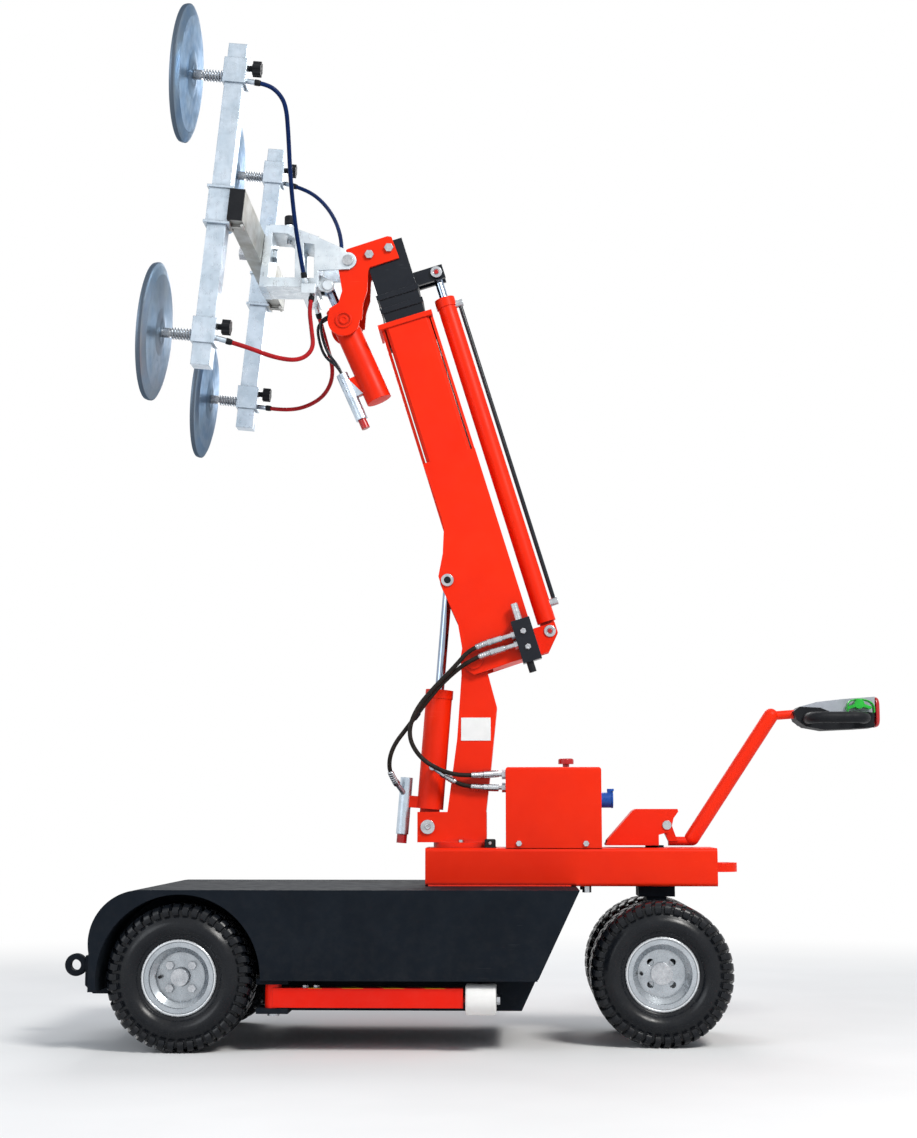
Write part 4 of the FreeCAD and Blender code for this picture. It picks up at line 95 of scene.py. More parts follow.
# The node tree of a material or of the world
class Nodes:
    def __init__(self, owner, kind="Material"):
        owner.use_nodes = True
        self.owner = owner
        self.tree = owner.node_tree
        self.tree.nodes.clear()
        self.out = self.add("Output" + kind)

    def add(self, kind, **values):
        node = self.tree.nodes.new("ShaderNode" + kind)
        for key, value in values.items():
            setattr(node, key, value)
        return node

    def link(self, source, target):
        self.tree.links.new(source, target)

    def put(self, target, value):
        if isinstance(value, bpy.types.NodeSocket):
            self.link(value, target)
        else:
            target.default_value = value

    def math(self, operation, a, b=0.0, clamp=False):
        node = self.add("Math", operation=operation, use_clamp=clamp)
        self.put(node.inputs[0], a)
        self.put(node.inputs[1], b)
        return node.outputs[0]

    def span(self, value, low, high, to_low=0.0, to_high=1.0):
        node = self.add("MapRange", interpolation_type="SMOOTHSTEP")
        for socket, given in zip(node.inputs, (value, low, high, to_low, to_high)):
            self.put(socket, given)
        return node.outputs[0]

    def parts(self, vector):
        node = self.add("SeparateXYZ")
        self.link(vector, node.inputs[0])
        return node.outputs

    def length(self, vector):
        node = self.add("VectorMath", operation="LENGTH")
        self.link(vector, node.inputs[0])
        return node.outputs["Value"]

    def noise(self, where, scale, detail=2.0, rough=0.5):
        node = self.add("TexNoise")
        self.link(where, node.inputs["Vector"])
        node.inputs["Scale"].default_value = scale
        node.inputs["Detail"].default_value = detail
        node.inputs["Roughness"].default_value = rough
        return node.outputs["Fac"]

    def stretched(self, where, scale, turn=(0, 0, 0)):
        node = self.add("Mapping")
        self.link(where, node.inputs["Vector"])
        node.inputs["Scale"].default_value = scale
        node.inputs["Rotation"].default_value = turn
        return node.outputs[0]

    def mix(self, share, a, b):
        node = self.add("Mix", data_type="RGBA")
        self.put(node.inputs[0], share)
        self.put(node.inputs[6], a)
        self.put(node.inputs[7], b)
        return node.outputs[2]

    def edges(self, radius):
        bevel = self.add("Bevel", samples=4)
        bevel.inputs["Radius"].default_value = radius
        flat = self.add("NewGeometry").outputs["Normal"]
        dot = self.add("VectorMath", operation="DOT_PRODUCT")
        self.link(bevel.outputs[0], dot.inputs[0])
        self.link(flat, dot.inputs[1])
        return bevel.outputs[0], self.math("SUBTRACT", 1.0, dot.outputs["Value"])

    def bump(self, height, distance, strength, normal=None):
        node = self.add("Bump")
        node.inputs["Distance"].default_value = distance
        node.inputs["Strength"].default_value = strength
        self.link(height, node.inputs["Height"])
        if normal is not None:
            self.link(normal, node.inputs["Normal"])
        return node.outputs[0]

    def principled(self, gloss):
        node = self.add("BsdfPrincipled")
        self.link(node.outputs[0], self.out.inputs["Surface"])
        node.inputs["Specular IOR Level"].default_value = gloss
        return node

    def finish(self, shader, color, roughness, normal):
        self.link(color, shader.inputs["Base Color"])
        self.link(roughness, shader.inputs["Roughness"])
        self.link(normal, shader.inputs["Normal"])
        return self.owner

    # One for a ray from the camera, off a mirror or through glass, and nought for other light
    def seen(self):
        path = self.add("LightPath")
        either = self.math("MAXIMUM", path.outputs["Is Camera Ray"], path.outputs["Is Glossy Ray"])
        return self.math("MAXIMUM", either, path.outputs["Is Transmission Ray"])

    def between(self, share, one, two):
        node = self.add("MixShader")
        for source, socket in zip((share, one.outputs[0], two.outputs[0]), node.inputs):
            self.link(source, socket)
        self.link(node.outputs[0], self.out.inputs["Surface"])


def rgb(*values):
    return (*values, 1.0)


def new_material(name):
    return Nodes(bpy.data.materials.new(name))


MAT = {}


# One painted, plated or moulded surface: two tones in soft patches, a fine grain or streaks, worn edges
# (on black paint a painted highlight, on zinc a painted shade line), thin scratches, painted shade in the
# corners, and dust that settles low down and on upward faces

# The colour of the painted shade in corners, and how far from a surface that shade reaches
CORNER_SHADE = rgb(0.05, 0.048, 0.045)
CORNER_SHADE_REACH = 0.03
DUST = rgb(0.33, 0.29, 0.24)


def surface(name, tone, other, rough, metal=0.0, patch=9.0, grain=700.0, grain_height=0.00012,
            grain_strength=0.25, edge_wear_and_light=None, edge_share=0.6, scratch=0.0, dust=0.0, dust_top=0.5,
            round_edges=0.0012, gloss=0.3, streak=None, overlay=None, tint=None, corner_shade=0.0, brushed=0.0):
    n = new_material(name)
    where = n.add("TexCoord").outputs["Object"]
    shader = n.principled(gloss)
    shader.inputs["Metallic"].default_value = metal
    if brushed:
        shader.inputs["Anisotropic"].default_value = brushed
        n.link(n.add("Tangent", direction_type="RADIAL", axis="X").outputs[0], shader.inputs["Tangent"])
    if tint:
        shader.inputs["Specular Tint"].default_value = tint
    blotch = n.span(n.noise(where, patch, 4.0, 0.55), 0.3, 0.7)
    color = n.mix(blotch, tone, other)
    roughness = n.span(n.noise(where, patch * 3.1, 3.0), 0.25, 0.75, rough[0], rough[1])
    fine = n.noise(where, grain, 2.0)
    if overlay:
        color, fine = overlay(n, where, color, fine)
    if streak:
        lines = n.noise(n.stretched(where, streak), 1.0, 3.0, 0.6)
        fine = n.math("ADD", fine, n.math("MULTIPLY", lines, 1.4))
        roughness = n.math("ADD", roughness, n.span(lines, 0.35, 0.7, -0.05, 0.07))
    bevel, sharp = n.edges(round_edges)
    # Edge tone on sharp edges: wear on most surfaces, a painted highlight on black paint and a painted shade
    # line on zinc
    if edge_wear_and_light:
        broken = n.noise(where, 160.0, 4.0, 0.7)
        wear_and_light_mask = n.math("MULTIPLY", n.span(sharp, 0.04, 0.22), n.span(broken, 0.45, 0.62))
        color = n.mix(n.math("MULTIPLY", wear_and_light_mask, edge_share), color, edge_wear_and_light)
    if scratch:
        thin = n.noise(n.stretched(where, (14.0, 14.0, 520.0), (0.5, 0.35, 0.2)), 1.0, 2.0)
        seldom = n.noise(where, 7.0, 2.0)
        mark = n.math("MULTIPLY", n.span(thin, 0.69, 0.74), n.span(seldom, 0.52, 0.7))
        mark = n.math("MULTIPLY", mark, scratch)
        color = n.mix(mark, color, edge_wear_and_light or other)
        roughness = n.math("ADD", roughness, n.math("MULTIPLY", mark, 0.2))
    # Painted shade: the colour darkens where ambient occlusion finds nearby surfaces, in corners and recesses
    if corner_shade:
        corner = n.add("AmbientOcclusion", samples=4)
        corner.inputs["Distance"].default_value = CORNER_SHADE_REACH
        painted_shade = n.span(corner.outputs["AO"], 0.25, 0.8, corner_shade, 0.0)
        color = n.mix(n.math("MULTIPLY", painted_shade, n.span(blotch, 0.0, 1.0, 0.7, 1.0)), color, CORNER_SHADE)
    if dust:
        near_floor = n.span(n.parts(where)[2], 0.0, dust_top, 1.0, 0.25)
        upward = n.span(n.parts(n.add("NewGeometry").outputs["Normal"])[2], -0.6, 1.0, 0.35, 1.0)
        film = n.span(n.noise(where, 34.0, 5.0, 0.65), 0.35, 0.75)
        film = n.math("MULTIPLY", film, n.math("MULTIPLY", near_floor, upward))
        film = n.math("MULTIPLY", film, dust, True)
        color = n.mix(film, color, DUST)
        roughness = n.math("ADD", roughness, n.math("MULTIPLY", film, 0.35))
    MAT[name] = n.finish(shader, color, roughness, n.bump(fine, grain_height, grain_strength, bevel))


# Yellow dashes of tape along the top of an outrigger

TAPE = rgb(0.86, 0.60, 0.02)
TAPE_PERIOD = 0.052


def tape(n, where, color, fine):
    x, y, z = n.parts(where)
    slant = n.math("ADD", n.math("ADD", x, 2.0), n.math("MULTIPLY", y, 0.6))
    dash = n.span(n.math("PINGPONG", slant, TAPE_PERIOD), 0.0255, 0.0265)
    top = n.span(z, 0.1592, 0.1597)
    inside = n.math("MULTIPLY", n.span(x, -0.405, -0.404), n.span(x, -0.061, -0.060, 1.0, 0.0))
    mask = n.math("MULTIPLY", n.math("MULTIPLY", dash, top), inside)
    return n.mix(mask, color, TAPE), fine


# Turned metal: fine rings about a cup's axis, a dark outer band and a stain round the hub
def turned_rings(y, z):
    def rings(n, where, color, fine):
        away = n.add("VectorMath", operation="SUBTRACT")
        n.link(where, away.inputs[0])
        away.inputs[1].default_value = on_yoke(-0.17, y, z)
        across = n.add("VectorMath", operation="CROSS_PRODUCT")
        n.link(away.outputs[0], across.inputs[0])
        across.inputs[1].default_value = YOKE_FORWARD
        radius = n.length(across.outputs[0])
        groove = n.math("SINE", n.math("MULTIPLY", radius, 2600.0))
        wander = n.math("MULTIPLY", n.noise(where, 12.0, 3.0), 5.0)
        band = n.math("SINE", n.math("ADD", n.math("MULTIPLY", radius, 130.0), wander))
        color = n.mix(n.span(band, -0.6, 1.0, 0.0, 0.4), color, rgb(0.27, 0.32, 0.38))
        color = n.mix(n.span(radius, 0.1765, 0.1788), color, rgb(0.10, 0.13, 0.17))
        color = n.mix(n.span(radius, 0.028, 0.045, 0.55, 0.0), color, rgb(0.07, 0.075, 0.08))
        return color, n.math("ADD", fine, n.math("MULTIPLY", groove, 0.5))
    return rings


# Wheels: where each axle lies (x) and how far out its wheels are (y)

WHEEL_RADIUS = 0.184
WHEELS = {"front": (-0.731, 0.275), "rear": (0.491, 0.145)}
SIDES = (("left", -1), ("right", 1))


def wheels():
    for place, (x, out) in WHEELS.items():
        for side, way in SIDES:
            yield place, side, x, way * out


# A rim's finish: a bright rolled lip with a ring of painted shade inside it where the lip steps down, round a
# darker dish
def rolled_lip(axle):
    def lip(n, where, color, fine):
        x, _, z = n.parts(where)
        flat = n.add("CombineXYZ")
        n.link(n.math("SUBTRACT", x, axle), flat.inputs[0])
        n.link(n.math("SUBTRACT", z, WHEEL_RADIUS), flat.inputs[2])
        radius = n.length(flat.outputs[0])
        outside = n.span(radius, 0.0884, 0.0890)
        step_shade = n.math("MULTIPLY", n.span(radius, 0.0866, 0.0880),
                      n.span(radius, 0.0884, 0.0894, 1.0, 0.0))
        color = n.mix(outside, color, rgb(0.70, 0.73, 0.76))
        color = n.mix(n.math("MULTIPLY", step_shade, 0.75), color, rgb(0.10, 0.11, 0.12))
        return color, fine
    return lip


# Where each cup's axis crosses the yoke's plane (y, z)

CUPS = {"cup_top_left": (-0.375, 0.363), "cup_bottom_left": (-0.375, -0.349),
        "cup_top_right": (0.375, 0.363), "cup_bottom_right": (0.375, -0.349)}


# Each surface: name, its two tones, the range of its roughness, and what else it has

RED = dict(patch=5.0, grain=620.0, edge_wear_and_light=rgb(0.93, 0.10, 0.035), edge_share=0.7, scratch=0.4, dust=0.04,
           gloss=0.15, corner_shade=0.55)
surface("red_paint", rgb(0.86, 0.024, 0.002), rgb(0.80, 0.019, 0.002), (0.36, 0.50), **RED)
surface("taped_paint", rgb(0.82, 0.012, 0.002), rgb(0.76, 0.010, 0.002), (0.36, 0.50), overlay=tape, **RED)
surface("graphite_paint", rgb(0.0092, 0.0128, 0.0185), rgb(0.0072, 0.0102, 0.0150), (0.58, 0.72),
        grain=900.0, grain_strength=0.45, edge_wear_and_light=rgb(0.05, 0.056, 0.064), scratch=0.5, dust=0.04, gloss=0.05)
# Black paint: its light edge tone is a painted highlight along the edges
surface("black_paint", rgb(0.0052, 0.0076, 0.0130), rgb(0.0080, 0.0105, 0.016), (0.16, 0.28),
        edge_wear_and_light=rgb(0.16, 0.17, 0.19), edge_share=0.8, scratch=0.6, dust=0.03, round_edges=0.002, gloss=0.24)
# Zinc tubes and head plates: the dark edge tone is a painted shade line along the edges, and their corners
# get painted shade
surface("zinc_steel", rgb(0.60, 0.68, 0.77), rgb(0.47, 0.555, 0.64), (0.26, 0.44), metal=0.9, patch=22.0,
        grain=420.0, grain_strength=0.22, edge_wear_and_light=rgb(0.22, 0.26, 0.30), edge_share=0.85, scratch=0.2,
        streak=(260.0, 260.0, 9.0), corner_shade=0.85, round_edges=0.0028)
surface("head_zinc", rgb(0.76, 0.82, 0.87), rgb(0.62, 0.69, 0.75), (0.26, 0.44), metal=0.85, patch=18.0,
        grain=420.0, grain_strength=0.22, edge_wear_and_light=rgb(0.26, 0.30, 0.33), edge_share=0.85, scratch=0.2,
        streak=(260.0, 260.0, 9.0), corner_shade=0.9, round_edges=0.0028)
# A darker, greyer copy of the zinc: painted shade on the yoke's beam
surface("shaded_beam_zinc", rgb(0.60, 0.62, 0.62), rgb(0.44, 0.44, 0.415), (0.34, 0.5), metal=0.85, patch=16.0,
        grain=420.0, edge_wear_and_light=rgb(0.45, 0.48, 0.50), scratch=0.5, corner_shade=0.7, streak=(260.0, 9.0, 260.0),
        tint=rgb(0.5, 0.5, 0.48))
surface("steel", rgb(0.56, 0.58, 0.61), rgb(0.42, 0.44, 0.47), (0.2, 0.38), metal=1.0, patch=60.0,
        grain=900.0, edge_wear_and_light=rgb(0.26, 0.27, 0.29), scratch=0.4)
surface("tyre_rubber", rgb(0.0045, 0.0060, 0.0090), rgb(0.0070, 0.0085, 0.0115), (0.20, 0.31), patch=24.0,
        grain=1100.0, grain_strength=0.2, dust=0.03, dust_top=0.3, round_edges=0.002, gloss=0.24)
# Chromed rods: the dark blue tone is a painted reflection, darker and bluer than bare chrome
surface("chromed_rod", rgb(0.34, 0.40, 0.50), rgb(0.28, 0.34, 0.43), (0.07, 0.16), metal=1.0, patch=14.0,
        grain=300.0, grain_strength=0.08, streak=(30.0, 30.0, 1500.0), tint=rgb(0.5, 0.56, 0.64))
surface("seal_rubber", rgb(0.009, 0.010, 0.012), rgb(0.015, 0.016, 0.018), (0.55, 0.7), patch=40.0,
        grain=1300.0, grain_strength=0.4, gloss=0.2)
surface("spring_steel", rgb(0.50, 0.53, 0.57), rgb(0.36, 0.39, 0.43), (0.2, 0.36), metal=1.0, patch=70.0,
        grain=1500.0)
surface("black_plastic", rgb(0.0070, 0.0080, 0.0105), rgb(0.0105, 0.0115, 0.014), (0.48, 0.62), patch=30.0,
        grain=1700.0, grain_height=0.0002, grain_strength=0.6, edge_wear_and_light=rgb(0.04, 0.04, 0.045), scratch=0.4,
        gloss=0.15)
surface("grey_plastic", rgb(0.40, 0.42, 0.47), rgb(0.34, 0.365, 0.41), (0.36, 0.5), patch=30.0,
        grain=1700.0, grain_height=0.0002, grain_strength=0.6, edge_wear_and_light=rgb(0.52, 0.53, 0.56), scratch=0.4)
surface("white_plastic", rgb(0.90, 0.89, 0.875), rgb(0.85, 0.84, 0.82), (0.38, 0.52), patch=22.0,
        grain=900.0, edge_wear_and_light=rgb(0.62, 0.58, 0.53), scratch=0.7, dust=0.05)
surface("white_plate", rgb(0.85, 0.85, 0.84), rgb(0.80, 0.80, 0.79), (0.3, 0.42), patch=30.0, grain=900.0,
        edge_wear_and_light=rgb(0.5, 0.5, 0.5), scratch=0.5)
surface("red_plastic", rgb(0.48, 0.010, 0.012), rgb(0.40, 0.008, 0.010), (0.2, 0.32), patch=30.0,
        grain=900.0, edge_wear_and_light=rgb(0.62, 0.06, 0.05), gloss=0.45)
surface("green_plastic", rgb(0.012, 0.48, 0.035), rgb(0.008, 0.36, 0.026), (0.24, 0.38), patch=40.0,
        grain=1200.0, edge_wear_and_light=rgb(0.16, 0.70, 0.2), gloss=0.45)
surface("blue_plastic", rgb(0.008, 0.10, 0.50), rgb(0.006, 0.075, 0.40), (0.26, 0.4), patch=40.0,
        grain=1200.0, edge_wear_and_light=rgb(0.1, 0.25, 0.65))
for place, (axle, _) in WHEELS.items():
    surface(place + "_rim", rgb(0.49, 0.53, 0.57), rgb(0.40, 0.435, 0.47), (0.20, 0.32), metal=0.85,
            patch=26.0, grain=800.0, edge_wear_and_light=rgb(0.66, 0.69, 0.72), scratch=0.4, dust=0.05, dust_top=0.3,
            corner_shade=0.45, overlay=rolled_lip(axle))
BLUE_CUP = (rgb(0.155, 0.225, 0.325), rgb(0.205, 0.260, 0.320), rgb(0.28, 0.36, 0.46))
GREY_CUP = (rgb(0.205, 0.275, 0.355), rgb(0.260, 0.305, 0.345), rgb(0.34, 0.41, 0.50))
for cup, (y, z) in CUPS.items():
    tone, other, tint = GREY_CUP if cup == "cup_bottom_left" else BLUE_CUP
    surface(cup + "_metal", tone, other, (0.28, 0.40), metal=0.8, patch=14.0, grain=520.0,
            edge_wear_and_light=rgb(0.10, 0.11, 0.13), scratch=0.6, gloss=0.1, brushed=0.75, tint=tint,
            overlay=turned_rings(y, z))


# Hoses: a rubber tube with a cloth mark pressed into it, or a smooth plastic tube

HOSE_GLOSS = 0.12


def hose_material(name, tone, other, rough, rubber):
    n = new_material(name)
    shader = n.principled(HOSE_GLOSS)
    where = n.add("TexCoord").outputs["Object"]
    along = n.add("UVMap").outputs[0]
    soft = n.span(n.noise(where, 24.0, 4.0), 0.3, 0.7)
    color = n.mix(soft, tone, other)
    roughness = n.span(n.noise(where, 60.0, 3.0), 0.3, 0.7, rough[0], rough[1])
    fine = n.noise(where, 1100.0, 2.0)
    if rubber:
        weave = n.add("TexWave", wave_type="BANDS", bands_direction="DIAGONAL")
        n.link(n.stretched(along, (1.0, 90.0, 1.0)), weave.inputs["Vector"])
        weave.inputs["Scale"].default_value = 4.0
        woven = n.math("MULTIPLY", weave.outputs["Fac"], 0.7)
        fine = n.math("ADD", woven, n.math("MULTIPLY", fine, 0.5))
        dusty = n.span(n.noise(where, 90.0, 5.0, 0.7), 0.5, 0.75, 0.0, 0.12)
        color = n.mix(dusty, color, rgb(0.2, 0.17, 0.14))
    depth, strength = (0.0003, 0.45) if rubber else (0.0001, 0.15)
    MAT[name] = n.finish(shader, color, roughness, n.bump(fine, depth, strength))


hose_material("hydraulic_hose", rgb(0.012, 0.0095, 0.008), rgb(0.020, 0.0155, 0.013), (0.42, 0.58), True)
hose_material("blue_hose", rgb(0.0012, 0.018, 0.095), rgb(0.001, 0.012, 0.070), (0.40, 0.52), False)
hose_material("red_hose", rgb(0.40, 0.010, 0.014), rgb(0.31, 0.008, 0.011), (0.40, 0.52), False)


# A new piece with its material, smooth faces with sharp creases, and the body it moves with


def make(name, mesh, material, body=None, crease=40):
    mesh.materials.append(MAT[material])
    for polygon in mesh.polygons:
        polygon.use_smooth = True
    mesh.set_sharp_from_angle(angle=math.radians(crease))
    piece = bpy.data.objects.new(name, mesh)
    scene.collection.objects.link(piece)
    if body:
        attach(piece, body)
    return piece


def to_mesh(name, build):
    mesh = bpy.data.meshes.new(name)
    build.to_mesh(mesh)
    build.free()
    return mesh


def circle(count):
    return [(math.cos(2 * math.pi * k / count), math.sin(2 * math.pi * k / count)) for k in range(count)]


# A skin over rings of points, with its two ends filled or, for a hollow ring, joined to each other
def loft(name, rings, hollow=False):
    build = bmesh.new()
    rings = [[build.verts.new(point) for point in ring] for ring in rings]
    count = len(rings[0])
    for a, b in zip(rings, rings[1:] + rings[:1] if hollow else rings[1:]):
        for k in range(count):
            after = (k + 1) % count
            build.faces.new((a[k], a[after], b[after], b[k]))
    if not hollow:
        build.faces.new(rings[0])
        build.faces.new(rings[-1])
    bmesh.ops.recalc_face_normals(build, faces=build.faces)
    return to_mesh(name, build)


# The points of a curve that has the route's points as control points

ROUTE_STEPS = 14
SAME_POINT = 1e-5


def line_points(route):
    curve = bpy.data.curves.new("route", "CURVE")
    curve.dimensions = "3D"
    curve.resolution_u = ROUTE_STEPS
    spline = curve.splines.new("NURBS")
    spline.points.add(len(route) - 1)
    for point, place in zip(spline.points, route):
        point.co = (*place, 1.0)
    spline.order_u = 3
    spline.use_endpoint_u = True
    holder = bpy.data.objects.new("route", curve)
    scene.collection.objects.link(holder)
    mesh = bpy.data.meshes.new_from_object(holder)
    points = [v.co.copy() for v in mesh.vertices]
    bpy.data.objects.remove(holder)
    bpy.data.curves.remove(curve)
    bpy.data.meshes.remove(mesh)
    kept = [points[0]]
    for point in points[1:]:
        if (point - kept[-1]).length > SAME_POINT:
            kept.append(point)
    return kept


def lengths_along(points):
    total = [0.0]
    for a, b in zip(points, points[1:]):
        total.append(total[-1] + (b - a).length)
    return total


# A round tube along points, with its length in the UV map's second value
def tube_mesh(name, points, radius, sides=20, radii=None):
    tangents = []
    for k in range(len(points)):
        before = points[max(k - 1, 0)]
        after = points[min(k + 1, len(points) - 1)]
        tangents.append((after - before).normalized())
    across = tangents[0].orthogonal().normalized()
    build = bmesh.new()
    uv = build.loops.layers.uv.new("UVMap")
    rings = []
    for k, point in enumerate(points):
        across = (across - tangents[k] * across.dot(tangents[k])).normalized()
        side = tangents[k].cross(across)
        size = radii[k] if radii else radius
        rings.append([build.verts.new(point + (across * c + side * s) * size) for c, s in circle(sides)])
    lengths = lengths_along(points)
    for k in range(len(rings) - 1):
        for step in range(sides):
            after = (step + 1) % sides
            corners = ((step, k), (step + 1, k), (step + 1, k + 1), (step, k + 1))
            face = build.faces.new((rings[k][step], rings[k][after], rings[k + 1][after], rings[k + 1][step]))
            for loop, (around, ring) in zip(face.loops, corners):
                loop[uv].uv = (around / sides, lengths[ring] / (2 * math.pi * radius))
    build.faces.new(list(reversed(rings[0])))
    build.faces.new(rings[-1])
    build.normal_update()
    return to_mesh(name, build)


# Each hose: material, the bodies at its two ends, length, and the points of its route

HOSE_RADIUS = 0.006
HOSES = {
    "hose_box_high": ("hydraulic_hose", "chassis", "boom", 0.610,
                      [(0.041, -0.060, 0.697), (-0.020, -0.070, 0.692), (-0.080, -0.088, 0.704),
                       (-0.140, -0.099, 0.740), (-0.172, -0.102, 0.800), (-0.152, -0.102, 0.868),
                       (-0.100, -0.100, 0.930), (-0.045, -0.096, 0.985), (-0.003, -0.088, 1.036),
                       (0.052, -0.088, 1.053)]),
    "hose_lift_upper": ("hydraulic_hose", "boom", "chassis", 0.278,
                        [(0.060, -0.088, 1.026), (0.007, -0.088, 1.010), (-0.052, -0.087, 0.968),
                         (-0.105, -0.085, 0.914), (-0.150, -0.082, 0.854)]),
    "hose_lift_lower": ("hydraulic_hose", "chassis", "lift_barrel", 0.218,
                        [(-0.150, -0.082, 0.854), (-0.177, -0.0802, 0.818), (-0.208, -0.075, 0.779),
                         (-0.224, -0.066, 0.738), (-0.222, -0.053, 0.698), (-0.204, -0.032, 0.672)]),
    "hose_box_low": ("hydraulic_hose", "chassis", "lift_barrel", 0.132,
                     [(0.041, -0.060, 0.662), (0.0, -0.062, 0.663), (-0.045, -0.066, 0.674),
                      (-0.082, -0.064, 0.700)]),
    "vacuum_hose_top_left": ("blue_hose", "yoke", "head", 0.586,
                             [(-0.570, -0.375, 2.524), (-0.537, -0.373, 2.519), (-0.508, -0.361, 2.501),
                              (-0.490, -0.340, 2.472), (-0.489, -0.294, 2.408), (-0.492, -0.216, 2.308),
                              (-0.487, -0.140, 2.205), (-0.476, -0.092, 2.125), (-0.468, -0.076, 2.078)]),
    "vacuum_hose_top_right": ("blue_hose", "yoke", "head", 0.611,
                              [(-0.562, 0.375, 2.513), (-0.515, 0.350, 2.490), (-0.455, 0.285, 2.425),
                               (-0.405, 0.195, 2.330), (-0.380, 0.115, 2.225), (-0.392, 0.086, 2.150),
                               (-0.424, 0.080, 2.108), (-0.450, 0.077, 2.080)]),
    "vacuum_hose_bottom_left": ("red_hose", "yoke", "head", 0.532,
                                [(-0.634, -0.375, 1.816), (-0.580, -0.364, 1.802), (-0.515, -0.322, 1.784),
                                 (-0.455, -0.262, 1.790), (-0.425, -0.195, 1.840), (-0.440, -0.130, 1.915),
                                 (-0.452, -0.090, 1.985), (-0.448, -0.066, 2.024)]),
    "vacuum_hose_bottom_right": ("red_hose", "yoke", "head", 0.514,
                                 [(-0.634, 0.375, 1.812), (-0.575, 0.360, 1.800), (-0.505, 0.318, 1.800),
                                  (-0.440, 0.255, 1.822), (-0.408, 0.180, 1.870), (-0.425, 0.115, 1.940),
                                  (-0.445, 0.072, 2.018)]),
}


# The points of a path between two lengths along it, every few tenths of a millimetre
def stretch(points, start, stop, step=0.0008):
    found = []
    done = 0.0
    for a, b in zip(points, points[1:]):
        run = (b - a).length
        count = max(1, math.ceil(run / step))
        for k in range(count):
            at = done + run * k / count
            if start <= at <= stop:
                found.append(a.lerp(b, k / count))
        done += run
    return found


# Hose ends follow the hose: a crimped sleeve with its nut, a push-in collar, or a clip where a hose is split.
# Each function gives the radius at a length from the end.

HOSE_END_RADIUS = 0.008
SLEEVE_LENGTH, COLLAR_LENGTH, CLIP_LENGTH = 0.045, 0.016, 0.012
SPLIT_ENDS = (("hose_lift_upper", "end"), ("hose_lift_lower", "start"))


def crimped(at):
    if at < 0.011:
        return 0.0098
    if at < 0.0125:
        return 0.0074
    if at > 0.0435:
        return 0.0072
    return 0.0088 - (0.0009 if (at - 0.0125) % 0.0062 > 0.0042 else 0.0)


def collar(at):
    if at > 0.0145:
        return 0.0070
    return 0.0084 if at < 0.011 else 0.0078


def clip(at):
    return 0.0082 if at < 0.0095 else 0.0072


def hose_end(name, points, shape, length, material, body):
    run = stretch(points, 0.0, length)
    radii = [shape(at) for at in lengths_along(run)]
    return make(name, tube_mesh(name, run, HOSE_END_RADIUS, 24, radii), material, body, crease=30)


for node, (material, body_a, body_b, length, route) in HOSES.items():
    points = line_points(route)
    tube = make(node + "_tube", tube_mesh(node + "_tube", points, HOSE_RADIUS), material)
    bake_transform(tube)
    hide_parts(node)
    for end, body, run in (("start", body_a, points), ("end", body_b, points[::-1])):
        if material != "hydraulic_hose":
            kind = (collar, COLLAR_LENGTH, "black_plastic")
        elif (node, end) in SPLIT_ENDS:
            kind = (clip, CLIP_LENGTH, "black_plastic")
        else:
            kind = (crimped, SLEEVE_LENGTH, "steel")
        hose_end(node + "_" + end, run, *kind, body)


# Cup springs: seven open turns of round wire between the cup's hub and its holder

SPRING_START, SPRING_END, SPRING_SEAT = -0.1365, -0.0815, -0.0793
SPRING_TURNS, SPRING_STEPS = 7, 26 * 7
SPRING_RADIUS, WIRE_RADIUS = 0.014, 0.0022
for cup, (y, z) in CUPS.items():
    wire = []
    for k in range(SPRING_STEPS + 1):
        angle = 2 * math.pi * SPRING_TURNS * k / SPRING_STEPS
        x = SPRING_START + (SPRING_END - SPRING_START) * k / SPRING_STEPS
        wire.append(on_yoke(x, y + SPRING_RADIUS * math.cos(angle), z + SPRING_RADIUS * math.sin(angle)))
    coil = make(cup + "_spring", tube_mesh(cup + "_spring", wire, WIRE_RADIUS, 12), "spring_steel", "yoke")
    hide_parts("cup_springs")
    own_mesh(coil)


# Tyres: round side walls, and blocks on the shoulders and the tread, which slant back past the middle rib.
# A row of the profile gives the radius, the half width, and how much of each is lost between two blocks.
# A column gives its place in the period of a block, and the share of that loss.

